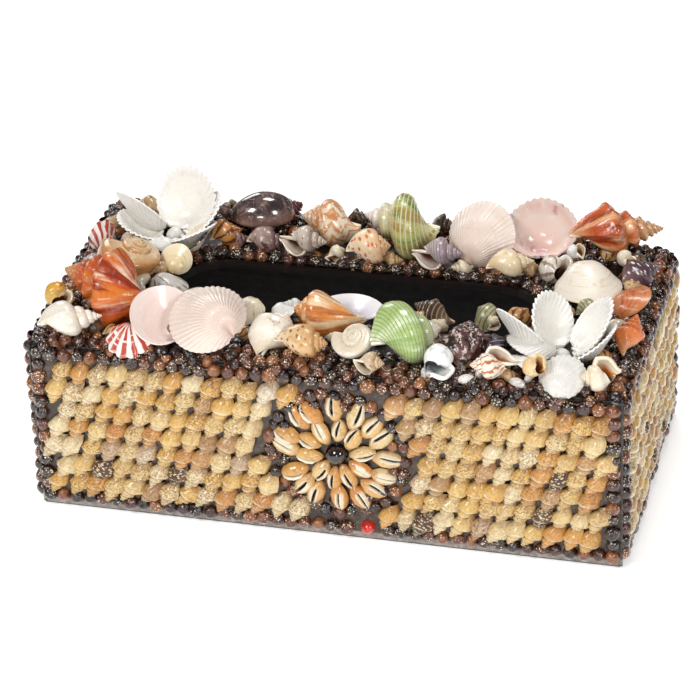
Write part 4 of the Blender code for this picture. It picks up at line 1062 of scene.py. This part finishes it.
SPIRALS = {
    "whelk_white": (
        SNAIL, -0.868, -0.900, 0.0300, 0.0165, 0.42, 20, 4, "away", dict(cords=(16, 0.008)),
        "0 a87443, 0.09 ece2d2, 0.6 f1ebe0, 1 e6d9c3", "streak dccbb0 0.8 8 0.56 0.72", "fbf3e6 e8c9a0"),
    "periwinkle_mustard": (
        TURBAN, -0.965, -0.600, 0.0175, 0.0135, 0.30, 104, 20, "face", dict(wall=0.20, tip=0.35, pillar=0),
        "0 c98a2c, 0.5 d9a441, 1 e4bd6a", "streak a8691f 2 8 0.55 0.7", "f3e3c4 8a4a20"),
    "whelk_orange_large": (
        WHELK, -0.792, -0.505, 0.0550, 0.0345, 0.54, 158, -2, "away",
        dict(whorls=8, steps=44, count=34, ribs=(9, 0.07), cords=(20, 0.012)),
        "0 8a4a26, 0.1 c98a58, 0.26 c4622f, 0.5 cf5a24, 0.8 b8481c, 1 e2a67c",
        "streak d9782f 0.9 6 0.48 0.62; streak 8f2a10 0.8 11 0.54 0.66; streak efd0b4 0.7 9 0.6 0.68; "
        "spire cf9b66 0.12 0.42", "f7e3d0 d9703a"),
    "snail_cream_front": (
        TURBAN, -0.184, -0.745, 0.0262, 0.0200, 0.28, 74, 24, "away", dict(cords=(8, 0.01), tip=0.2),
        "0 7a5a45, 0.12 efe3cf, 0.6 f5ecdd, 1 e6d3b5", "blotch b59a80 240 0.58 0.75", "faf2e4 d8b48a"),
    "conch_speckled": (
        SNAIL, -0.075, -0.870, 0.0245, 0.0145, 0.26, 4, 0, "away", dict(ribs=(11, 0.03), tip=0.2),
        "0 c9955c, 0.5 e0bb8a, 1 eed8b5",
        "dots 9a5f2e 9 12 0.34; blotch c58a50 300 0.5 0.7", "f6e6cc c98a55"),
    "conch_orange": (
        WHELK, -0.025, -0.520, 0.0340, 0.0205, 0.26, 178, 0, "away", dict(flare=0.08, ribs=(8, 0.05)),
        "0 d98f4e, 0.4 e08a3e, 0.8 e8a45f, 1 f2cfa0",
        "streak f3d3a6 0.8 8 0.5 0.62; streak b8642c 0.8 13 0.54 0.68", "f6dfc4 e39a60"),
    "turban_green_front": (
        TURBAN, 0.266, -0.730, 0.0350, 0.0290, 0.38, 38, -2, "away",
        dict(whorls=6, steps=40, count=32, cords=(11, 0.012)),
        "0 e4e6c6, 0.2 c2cf90, 0.55 aec37c, 0.85 c0cf94, 1 e4e6c8",
        "streak e3ecc9 0.8 7 0.54 0.68; cords 7f9f5a 19 0.11; streak 86a860 0.8 12 0.58 0.72; "
        "spire e9e0cd 0.3 0.58; spire e2b3a4 0.03 0.12", "f4f1e2 d8d2b0"),
    "snail_small_front": (
        SNAIL, 0.170, -1.000, 0.0155, 0.0105, 0.36, -10, 4, "face", dict(),
        "0 b08a62, 0.5 dcc7a8, 1 eee2cd", "streak 93683f 3 8 0.56 0.7", "efe0c8 6b4226"),
    # the last colour of its mouth text is the painted shade deep inside its mouth
    "snail_white_ring": (
        TURBAN, 0.393, -0.980, 0.0165, 0.0155, 0.20, 62, 10, "face",
        dict(flare=0.02, wall=0.23, tip=0.4, pillar=0),
        "0 dfe3e3, 0.5 f1f1ee, 1 ffffff", "blotch b9c0bd 260 0.55 0.75", "f7f6f2 9aa3a5 4a5256"),
    "murex_purple": (
        WHELK, 0.460, -0.670, 0.0290, 0.0180, 0.40, 96, 20, "away",
        dict(ribs=(7, 0.20), cords=(13, 0.05), knobs=(7, 0.22, 0.24), wobble=0.03),
        "0 7a5a56, 0.4 4d2826, 0.8 8a625c, 1 dccabf",
        "blotch 26120e 300 0.48 0.6; blotch d9c6bc 420 0.54 0.64", "cdb4ae 6d4640"),
    "snail_dark_ribbed": (
        WHELK, 0.300, -0.225, 0.0235, 0.0125, 0.42, 156, 4, "away", dict(ribs=(14, 0.09), cords=(10, 0.02)),
        "0 2e2019, 0.5 4a352a, 1 7b6048", "cords 9b8467 7 0.12", "c9b294 5b4030"),
    "snail_orange_striped": (
        SNAIL, 0.575, -0.925, 0.0215, 0.0145, 0.34, -165, 2, "face", dict(wall=0.18, tip=0.3),
        "0 f1e4d0, 0.5 f6ecdd, 1 f0dfc6", "axial c4713d 9 0.14 1.2 1", "f8eddb c07a50"),
    "snail_tan_mouth": (
        TURBAN, 0.712, -0.950, 0.0125, 0.0110, 0.26, 150, 2, "face", dict(wall=0.24, tip=0.4, pillar=0),
        "0 d5a66c, 0.5 e8c78f, 1 f2ddb4", "blotch c28a4e 300 0.55 0.7", "f0d3a0 c9803e"),
    "periwinkle_orange_mouth": (
        TURBAN, 0.926, -0.905, 0.0180, 0.0155, 0.30, -165, 2, "face", dict(wall=0.22, tip=0.35, pillar=0),
        "0 ead7b5, 0.5 f4e8d0, 1 f7ecd8", "blotch dcb888 260 0.6 0.75", "f7e9cf cf7d35"),
    "whelk_orange_small": (
        WHELK, 0.975, -0.360, 0.0215, 0.0135, 0.44, 80, 34, "away", dict(ribs=(8, 0.07)),
        "0 c96a34, 0.5 e07a35, 1 ecaa75", "streak f0c49a 3 6 0.58 0.72", "f4d6ba d9763a"),
    "snail_mottled": (
        SNAIL, 0.940, 0.480, 0.0205, 0.0145, 0.42, 42, 14, "away", dict(ribs=(12, 0.04)),
        "0 3a2733, 0.5 5b4048, 1 8c7272", "dots efe6e2 8 11 0.33", "e6d6cf 7a5550"),
    "snail_grey_mouth": (
        TURBAN, 0.645, 0.440, 0.0175, 0.0160, 0.28, 130, 6, "face", dict(wall=0.20, tip=0.35, pillar=0),
        "0 cdbfae, 0.5 e6ddd0, 1 f1eae0", "axial 9d8874 7 0.16 1 0.8", "efe5d6 7b5038"),
    "snail_cream_suture": (
        SNAIL, 0.495, 0.415, 0.0235, 0.0135, 0.36, 28, 0, "away", dict(),
        "0 8a5530, 0.14 ecd6b0, 0.6 f0dcb8, 1 e0bd8a", "streak c28a52 2 7 0.58 0.72", "f4e3c6 a4683c"),
    "whelk_lilac": (
        SNAIL, 0.236, 0.455, 0.0245, 0.0150, 0.40, -2, 2, "face",
        dict(ribs=(13, 0.05), cords=(12, 0.015), wall=0.12, tip=0.25),
        "0 8b7480, 0.5 bfb0b4, 1 ddd2cf", "cords 8d767c 9 0.12", "e8d8cc 7a4a38"),
    "turban_green_back": (
        TURBAN, 0.080, 0.720, 0.0370, 0.0300, 0.44, 178, 4, "away",
        dict(whorls=6, steps=40, count=32, cords=(9, 0.02)),
        "0 ece2b8, 0.3 c6c47c, 0.6 b2b76a, 1 e0d8a4",
        "streak ad9150 0.8 12 0.52 0.64; streak 6c8748 0.8 9 0.56 0.68; cords ddd9ae 13 0.13; "
        "spire efe2d8 0.3 0.6", "efe9cf c9bf8f"),
    "cone_spotted": (
        SNAIL, -0.003, 0.420, 0.0215, 0.0165, 0.28, 25, 0, "away", dict(),
        "0 e2a876, 0.5 f0d3ac, 1 f3e0c2", "dots cf6f35 9 11 0.38", "f7e8d2 d98a55"),
    "whelk_zigzag": (
        SNAIL, -0.180, 0.755, 0.0310, 0.0225, 0.40, 172, 0, "away", dict(),
        "0 c98a52, 0.4 f0dcc0, 0.8 f2e3cc, 1 e6bd8c",
        "zigzag d69a68 9 0.15 0.8 6; blotch d08a52 190 0.47 0.62; blotch efe0cc 330 0.54 0.66; "
        "spire b9a6b4 0.05 0.2", "f4e4cc cf8a58"),
    "whelk_dotted": (
        SNAIL, -0.240, 0.475, 0.0240, 0.0150, 0.42, -5, 0, "face",
        dict(ribs=(12, 0.05), wall=0.12, tip=0.25),
        "0 8f7a6d, 0.5 d9cbbb, 1 ece1d2", "dots 6b4a3a 9 12 0.34", "e9dac6 5b3628"),
    "snail_amber": (
        SNAIL, -0.530, 0.540, 0.0170, 0.0140, 0.36, 40, 4, "away", dict(),
        "0 b5743c, 0.5 c98a4a, 1 e2b67c", "axial 6b3a1c 8 0.2 1.2 0.8", "f0d9b4 8a4f28"),
    "snail_net_patterned": (
        SNAIL, -0.850, 0.800, 0.0200, 0.0130, 0.42, -156, 10, "away", dict(ribs=(12, 0.04)),
        "0 a77c55, 0.5 d9b98d, 1 e9d5b4", "dots 8a5a34 8 12 0.36; spire 8d7a86 0.05 0.25", "efe0c6 9a6a40"),
    "whelk_orange_back": (
        WHELK, 0.822, 0.870, 0.0460, 0.0240, 0.50, 24, -2, "away",
        dict(whorls=8, steps=40, count=30, ribs=(9, 0.10), cords=(16, 0.014), knobs=(9, 0.10, 0.24)),
        "0 b5713c, 0.3 cc6530, 0.7 c4501f, 1 e0a673",
        "streak e9b98a 0.8 8 0.54 0.66; streak 8a3414 0.8 11 0.54 0.66; spire c4966a 0.35 0.66",
        "f3dcc2 cf7038"),
}

SLOTS = {
    "cream_shell": "clam_cream_right clam_lavender clam_streaked clam_translucent cone_spotted "
    "moon_snail_cream periwinkle_orange_mouth snail_cream_front snail_cream_suture snail_grey_mouth "
    "snail_orange_striped snail_small_front snail_white_ring whelk_white",
    "orange_shell": "clam_terracotta conch_orange whelk_orange_back whelk_orange_large whelk_orange_small",
    "tan_shell": "conch_speckled moon_snail_tan periwinkle_mustard snail_amber snail_net_patterned "
    "snail_tan_mouth whelk_zigzag",
    "green_shell": "turban_green_back turban_green_front",
    "dark_shell": "cowrie_purple murex_purple snail_dark_ribbed snail_mottled",
    "grey_shell": "whelk_dotted whelk_lilac",
    "striped_shell": "clam_fluted scallop_striped",
    "white_cockle": "flower_back_left flower_front_right cockle_leaning_front",
    "pink_cockle": "cockle_peach_back cockle_pink_front cockle_ribbed_back cockle_ribbed_front",
}
SLOT_OF = {node: slot for slot, nodes in SLOTS.items() for node in nodes.split()}


def make_shell(node, skin, materials):
    make(node + "_shell", skin, materials, [node], SLOT_OF[node])


def lay_on_node(skin, node, matrix, across, along):
    """Turns a shell, sets it over its place and lets it rest as low as its CAD solid does."""
    skin.move(matrix)
    lowest = skin.cloud()[:, 2].min()
    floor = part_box(node)[0][2]
    skin.move(Matrix.Translation((across * LENGTH / 2, along * DEPTH / 2, floor - lowest)))


def add_spirals():
    for number, (name, row) in enumerate(SPIRALS.items()):
        form, across, along, length, width, spire, heading, pitch, roll, details, stops, layers, mouth = row
        skin = coil(length, width, spire, form, seed=100 + number, **details)
        lay_on_node(skin, name, facing(heading, pitch, roll), across, along)
        outer = whorl_paint(name + "_paint", stops, layers)
        inner = mouth_paint(name + "_mouth", *mouth.split())
        make_shell(name, skin, [outer, inner])


# Valves: place across and along, length, width and depth, ribs, heading, pitch, roll, and their paint


VALVES = {
    "scallop_striped": (-0.655, -0.975, 0.0165, 0.0175, 0.0040, 9, -84, -38, 0, "striped"),
    "clam_streaked": (-0.635, -0.165, 0.0180, 0.0160, 0.0050, 0, -12, -4, 0, "streaked"),
    "cockle_pink_front": (-0.565, -0.800, 0.0270, 0.0290, 0.0070, 0, 172, 28, 160, "pink"),
    "cockle_ribbed_front": (-0.405, -0.800, 0.0345, 0.0315, 0.0125, 36, 151, 12, -25, "ribbed_pink"),
    "cockle_ribbed_back": (0.370, 0.680, 0.0312, 0.0325, 0.0115, 36, 88, 54, -20, "ribbed_pink"),
    "cockle_leaning_front": (0.800, -0.890, 0.0210, 0.0185, 0.0065, 22, 80, 36, 0, "white"),
    "clam_fluted": (-0.940, 0.270, 0.0150, 0.0160, 0.0050, 7, 62, 36, 90, "striped"),
    "clam_terracotta": (0.930, 0.155, 0.0210, 0.0200, 0.0065, 0, 60, 24, -20, "terracotta"),
    "clam_cream_right": (0.780, 0.250, 0.0295, 0.0280, 0.0100, 0, -70, 2, 0, "cream"),
    "cockle_peach_back": (0.568, 0.740, 0.0278, 0.0300, 0.0080, 26, 100, 60, 178, "peach"),
    "clam_lavender": (0.020, -0.270, 0.0150, 0.0270, 0.0050, 0, 90, 20, 180, "lavender"),
    "clam_translucent": (-0.650, 0.120, 0.0150, 0.0140, 0.0045, 0, 95, 46, 0, "honey"),
}


# Outside and inside of each kind of valve: colours, layers of pattern, roughness, height of growth lines
VALVE_PAINTS = {
    "striped": (
        ("striped_scallop", "0 f3e4da, 1 f6ebe2",
         "rays b8402f 4.5 0.24 0.5; rings f4e6dc 0.55 0.65 9", 0.3),
        ("striped_scallop_inside", "0 f5ece4, 1 efd6cb", "rays d98a78 4.5 0.2 0.4", 0.22),
    ),
    "streaked": (
        ("streaked_clam", "0 d9d2c8, 1 c9c2b8",
         "streak 6e6a66 0.5 0.62 9; blotch f3f0ea 280 0.55 0.7", 0.3),
        ("streaked_clam_inside", "0 f1ece4, 1 dcd2c5", "", 0.2),
    ),
    "pink": (
        ("pink_cockle_outside", "0 f5dcd2, 0.6 f6e3da, 1 faf0ea", "rings eec2b4 0.55 0.7 12", 0.3),
        ("pink_cockle_inside", "0 ecc9bb, 0.35 f1d6ca, 0.75 f3e0d7, 1 f4ebe5",
         "rings e8c4b6 0.55 0.75 7; grooves ecd3c9 40", 0.26, 0.12),
    ),
    "ribbed_pink": (
        ("ribbed_cockle", "0 e8c6b8, 0.2 f3e4d8, 0.6 faf2e8, 1 fbf6ee",
         "rings f2e0d3 0.54 0.7 10; grooves dcbfae 36", 0.3),
        ("ribbed_cockle_inside", "0 f2cbbb, 1 fbf0e8", "", 0.18, 0.1),
    ),
    "white": (
        ("white_cockle", "0 e8e3da, 0.4 f5f1ea, 1 fbf8f2",
         "rings e4e0d9 0.54 0.72 12; grooves d6d3cd 24", 0.3),
        ("white_cockle_inside", "0 e6e1d8, 0.5 f7f3eb, 0.86 fbf8f1, 1 fefbf6",
         "rings ebe7e0 0.54 0.74 6", 0.24, 0.10),
    ),
    "terracotta": (
        ("terracotta_clam", "0 c08a68, 0.5 c9713f, 1 cf8453",
         "rings a4532b 0.5 0.65 14; streak e2b08a 0.58 0.72 8", 0.3),
        ("terracotta_clam_inside", "0 f2ddcb, 1 e2a982", "", 0.2),
    ),
    "cream": (
        ("cream_clam", "0 efe0cb, 0.4 f4ebdc, 1 f2e7d6",
         "rings dcc6a8 0.54 0.7 16; blotch e2c9a4 200 0.58 0.75", 0.26),
        ("cream_clam_inside", "0 f5eee2, 1 efe2cf", "", 0.2),
    ),
    "peach": (
        ("peach_cockle", "0 e2a795, 1 f6dacd", "rings d99683 0.55 0.7 10", 0.3),
        ("peach_cockle_inside", "0 cf9fa8, 0.28 eecabd, 0.7 f5e1d6, 0.9 eec8bc, 1 f0dcd3",
         "blotch bd7b90 60 0.55 0.68; blotch f5eae3 110 0.54 0.72", 0.14, 0.08),
    ),
    "lavender": (
        ("lavender_clam", "0 cfc3d6, 0.5 efe9ef, 1 fbf7f4", "rings c9b6c8 0.55 0.7 9", 0.22),
        ("lavender_clam_inside", "0 d3c6dc, 0.5 ece6f0, 1 fbf7f6", "", 0.15),
    ),
    "honey": (
        ("honey_clam", "0 e8cf9a, 1 f4e6c4", "rings dcb877 0.55 0.7 10", 0.2),
        ("honey_clam_inside", "0 eedcb4, 1 f7edd4", "", 0.15),
    ),
}

# Each flower's place and its petals: shift, rise, length, width and depth in metres, heading, pitch and roll
FLOWERS = {
    "flower_front_right": (0.760, -0.545, (
        (-0.006, 0.001, 0.0280, 0.0240, 0.0060, 172, 34, 225),
        (-0.003, 0.003, 0.0258, 0.0240, 0.0060, 108, 50, 222),
        (0.004, 0.003, 0.0285, 0.0270, 0.0065, 24, 50, 175),
        (0.005, 0.000, 0.0250, 0.0240, 0.0060, -10, 38, 180),
        (-0.002, -0.004, 0.0220, 0.0210, 0.0055, 176, 16, 15),
    )),
    "flower_back_left": (-0.716, 0.540, (
        (0.003, 0.000, 0.0300, 0.0270, 0.0065, 82, 62, 180),
        (0.004, -0.001, 0.0260, 0.0250, 0.0060, 18, 42, 180),
        (-0.005, 0.002, 0.0280, 0.0240, 0.0060, 179, 34, 225),
        (-0.005, -0.002, 0.0240, 0.0230, 0.0060, -158, 24, 180),
        (0.004, -0.004, 0.0210, 0.0220, 0.0060, -30, 28, 180),
    )),
}


def add_valves():
    """Cockles, clams and scallops one by one, and two flowers of cockle valves."""
    paints = {kind: [fan_paint(*side) for side in sides] for kind, sides in VALVE_PAINTS.items()}
    for number, (name, row) in enumerate(VALVES.items()):
        across, along, length, width, depth, ribs, heading, pitch, roll, kind = row
        details = dict(ribs=ribs, seed=number)
        if ribs and ribs < 12:
            details.update(rib_height=0.035, tooth=0.07)
        if kind in ("ribbed_pink", "pink"):
            details.update(tooth=0.008, rib_height=0.011, rows=28)
        if not ribs:
            details.update(rows=18)
        skin = valve(length, width, depth, **details)
        lay_on_node(skin, name, turned(heading, pitch, roll), across, along)
        make_shell(name, skin, paints[kind])
    for name, (across, along, petals) in FLOWERS.items():
        skin = Skin()
        for number, (side, out, length, width, depth, heading, pitch, roll) in enumerate(petals):
            petal = valve(length, width, depth, 24, 82, 16, 0.013, 0.050, 20 + number)
            hinge = Matrix.Translation((length / 2, 0, 0))
            skin.take(petal, Matrix.Translation((side, out, 0.0026)) @ turned(heading, pitch, roll) @ hinge)
        skin.take(ball(rings=10, sides=18, squash=0.8, seed=9), Matrix.Scale(0.0046, 4))
        lay_on_node(skin, name, Matrix.Identity(4), across, along)
        make_shell(name, skin, paints["white"])


def add_pebbles():
    """Two moon snails and a cowrie, fitted to their solids."""
    tan = whorl_paint("tan_moon_snail", "0 e6cda4, 0.3 c98f55, 0.7 c07c41, 1 e0b98a",
                      "streak e9cfa8 2 5 0.55 0.7; blotch a4602e 160 0.58 0.75", 0.2)
    cream = whorl_paint("cream_moon_snail", "0 d9c7a8, 0.4 f3ebdc, 1 f7f1e6",
                        "blotch cdb48e 240 0.6 0.75", 0.2)
    mouth = mouth_paint("moon_snail_mouth", "f6ecdc", "d9b48a")
    for name, turn, paint in (
        ("moon_snail_tan", facing(30, 62, "away"), tan),
        ("moon_snail_cream", facing(-100, 64, 180), cream),
    ):
        skin = coil(0.026, 0.030, 0.22, (2.0, 0.40, 0.90), whorls=5, steps=40, count=26, seed=60)
        skin.move(turn)
        fit_to_box(skin, name)
        make_shell(name, skin, [paint, mouth])
    p = Paint("purple_cowrie", coat=0.9)
    tone = p.noise(170, 4, warp=0.8)
    colour = p.ramp(tone, "0.3 231a1d, 0.5 40302f, 0.62 655150, 0.8 8f7b76")
    colour = p.mix(p.step(p.noise(420, 4, warp=0.6), 0.54, 0.66, 0.0, 0.7), colour, "a8917f")
    side = p.step(p.off(p.mark(1), 0.25), 0.14, 0.28)
    colour = p.mix(p.times(side, 0.6), colour, "a98475")
    material = p.finish(colour, p.step(p.noise(500, 2), 0.3, 0.7, 0.10, 0.24), p.noise(260, 3), 0.14)
    skin = egg(0.0320, 0.0220, 0.0160, 0.2)
    skin.move(turned(20))
    fit_to_box(skin, "cowrie_purple")
    make_shell("cowrie_purple", skin, [material])


def fit_to_box(skin, node):
    """Scales and shifts a shape into its CAD node's box."""
    low, high = (np.array(corner, float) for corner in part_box(node))
    cloud = skin.cloud()
    first, last = cloud.min(axis=0), cloud.max(axis=0)
    grow = (high - low) / (last - first)
    skin.points = [(points - first) * grow + low for points in skin.points]

# Small shells without a solid: kind, colour, then place, rise, length and width in millimetres,
# heading, pitch and roll
BITS = """
valve cream 51.5 -45.8 1 12.5 12 200 40 180
turban plum 74 -39.5 0.5 14 12 110 40 away
snail tan 35 -18.8 0.5 10.5 8 160 20 away
turban cream 45 -24 0.5 9 8.5 60 40 away
turban olive 65.5 -14.5 0.5 14 12.5 150 20 away
turban cream 68.5 -20.5 3 7.5 7 30 50 face
turban amber 79 -10 0 12.5 11 60 30 away
snail tan 99 -5.6 2 14 9.5 100 30 away
valve white 114 -57.5 0.5 12 12 20 20 20
fan white 91 -51.5 1 17 14 172 24 20
turban cream 117.5 41.5 5 9 9 100 10 face
turban white 94 43 5.5 10 8.5 150 20 face
turban cream -17 29 0.5 10.5 8.5 30 15 face
spiny wine -47.5 57.5 4 18 12 30 20 away
turban mauve -52 34 0 18 12.5 10 0 away
snail tan -128 38 1 12 8.5 70 35 away
valve white -100 20.5 4 16.5 11 170 8 10
fan cream -83 24 4 16 13.5 60 30 160
snail cream -115 25 1 12 8 10 10 away
snail amber -101 12 2 12 7 100 25 away
valve olive -126 -6 1 12.5 12 120 10 20
valve streak -126 4 1 11 11 60 20 10
turban mauve -75 53 5 10 9.5 160 10 face
valve cream -71.5 -20 1 15 12 30 18 10
valve cream -43 -31 3 17 15 250 -14 0
valve white -27 -26 2 13 11 320 14 20
snail white -22.5 -22.5 2 13 8 200 20 away
spiny brown -14 62 1 13 9 20 10 away
spiny brown 27 62 1 15 10 -20 14 away
spiny tan 91 64.5 1 13 9 10 14 away
spiny tan 62 62.5 0.5 14 9 170 0 away
snail amber -98 -55.5 0 11 7.5 20 0 away
snail brown -110 -52.5 0 13 8 200 0 away
snail brown -71 -50 0 13 8 10 0 away
snail amber -112 -18 0 14 9 80 10 away
turban cream -99 -10 0.5 12 10 120 10 away
snail tan -94 2 1 13 8 60 5 away
snail tan 116 7 0.5 14 9 110 10 away
turban cream 124 -12 0.5 12 10 80 20 away
snail amber 122 -36 0.5 12 8 100 10 away
turban tan 74 33 0.5 11 9 20 10 away
snail cream 43 30.5 0 11 7.5 200 0 away
snail tan 10 31 0 11 7.5 10 0 away
snail mauve -66 36 0 12 8 30 0 away
snail cream 0 -40 0 11 7.5 30 0 away
snail brown 63 -52 0 11 7.5 100 0 away
snail tan 84 -58 0 10 7 20 0 away
snail brown -120 54 0 13 8.5 60 0 away
turban tan -87 56 0 12 10 140 10 away
snail amber -69 57 1 14 9 20 5 away
turban cream -33 58 0 12 10 200 10 away
snail mauve -2 58 0 13 8.5 160 0 away
snail tan 14 60 0 12 8 20 0 away
turban brown 44 58 0 12 10 100 10 away
snail cream 75 60 0 12 8 170 0 away
turban amber 109 52 0 11 9.5 60 10 away
snail brown 122 50 0 13 8.5 100 0 away
snail tan 124 26 0 13 8.5 80 0 away
turban olive 108 2 0 12 10 30 10 away
snail brown 124 -48 0 12 8 70 0 away
snail mauve -124 20 0 13 8.5 100 0 away
turban amber -104 44 0 12 10 60 10 away
snail tan -122 -14 0 12 8 110 0 away
snail amber -38 -46 0 11 7.5 20 0 away
turban brown -54 -38 0 11 9 80 10 away
snail cream 20 -38 0 11 7.5 30 0 away
turban brown 88 -26 0 12 10 140 10 away
snail tan 55 -34 0 12 8 50 0 away
"""

BIT_PAINTS = {
    "cream": ("0 b99468, 0.15 eadbbd, 1 efe4cd", "streak c49a68 2 7 0.58 0.72", "cream_shell"),
    "white": ("0 c9c2b8, 0.2 ecebe6, 1 f4f2ee", "blotch cfc9bf 300 0.6 0.75", "cream_shell"),
    "tan": ("0 8a6138, 0.2 c8a271, 1 dcc097", "dots 8a5a30 9 12 0.34", "tan_shell"),
    "amber": ("0 7a4a22, 0.2 c18a4a, 1 e0b87e", "axial 74441f 8 0.16 1.1 0.8", "tan_shell"),
    "olive": ("0 6d6a48, 0.3 a3a078, 1 cfcaa4", "cords 6f6c45 7 0.14", "green_shell"),
    "plum": ("0 2c2430, 0.4 4a3f4e, 1 7c7080",
        "axial 241a24 9 0.18 1.1 0.9; cords 9d93a0 6 0.1", "dark_shell"),
    "wine": ("0 4a1614, 0.5 6b2420, 1 92463a", "blotch 3a100f 300 0.5 0.7", "dark_shell"),
    "mauve": ("0 5d4440, 0.4 9d8078, 1 cbb3a6",
        "blotch 5a3a38 260 0.5 0.66; dots e2d2c6 8 10 0.26", "grey_shell"),
    "brown": ("0 3c2a1e, 0.4 6b5138, 1 a98d6a",
        "blotch 2f2018 320 0.5 0.68; dots b59a74 9 12 0.28", "dark_shell"),
    "streak": ("0 d9d5cf, 1 cfcac2", "axial 4a4644 12 0.2 1.4 0.4", "striped_shell"),
}


def bit_shape(kind, length, width, seed):
    if kind == "valve":
        return valve(length, width, length * 0.28, rows=12, seed=seed)
    if kind == "fan":
        return valve(length, width, length * 0.28, ribs=18, rows=12, seed=seed, rib_height=0.014, tooth=0.03)
    if kind == "turban":
        return coil(length, width, 0.26, TURBAN, 4.5, 22, 15, cords=(7, 0.015), seed=seed, wall=0.12)
    if kind == "spiny":
        details = dict(ribs=(8, 0.10), cords=(9, 0.05), knobs=(8, 0.14, 0.24))
        return coil(length, width, 0.40, WHELK, 5, 30, 18, seed=seed, **details)
    return coil(length, width, 0.40, SNAIL, 4.5, 20, 14, ribs=(11, 0.04), seed=seed, wall=0.10)


def add_bits():
    """Small shells that fill the wreath, one object for each colour."""
    groups = {}
    top = HEIGHT + GAP
    for number, row in enumerate(BITS.strip().splitlines()):
        kind, paint, *values, roll = row.split()
        x, y, lift, length, width, heading, pitch = (float(value) for value in values)
        shape = bit_shape(kind, length / 1000, width / 1000, number)
        shape.move(facing(heading, pitch, roll))
        lowest = shape.cloud()[:, 2].min()
        shape.move(Matrix.Translation((x / 1000, y / 1000, top + lift / 1000 - lowest)))
        groups.setdefault(paint, Skin()).take(shape)
    mouth = mouth_paint("small_shell_mouth", "f1e2c8", "a8764c")
    for paint, skin in groups.items():
        stops, layers, slot = BIT_PAINTS[paint]
        outer = whorl_paint(paint + "_bit_paint", stops, layers)
        make("small_wreath_" + paint, skin, [outer, mouth], (), slot)


def dress_board():
    """The kept box: thin board, stained black, with faint grain and smears of grey glue."""
    p = Paint("black_stained_board")
    stretch = p.put("ShaderNodeMapping", [("Vector", p.place()), ("Scale", (12.0, 90.0, 420.0))]).outputs[0]
    grain = p.noise(1.0, 5, stretch, rough=0.6)
    colour = p.ramp(grain, "0.3 0a0605, 0.55 140c09, 0.75 291a13")
    colour = p.mix(p.step(p.noise(120, 4), 0.64, 0.78, 0, 0.4), colour, "4a3d36")
    material = p.finish(colour, p.step(p.noise(300, 3), 0.3, 0.7, 0.45, 0.65), grain, 0.25)
    p.shader.inputs["Specular IOR Level"].default_value = 0.25
    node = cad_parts["box_body"]
    if not node.material_slots:
        node.data.materials.append(material)
    for slot in node.material_slots:
        slot.material = material


place_camera()
set_stage()
dress_board()
add_glue()
add_beads()
add_snail_fields()
add_medallion()
add_spirals()
add_valves()
add_pebbles()
add_bits()
add_hot_glue()
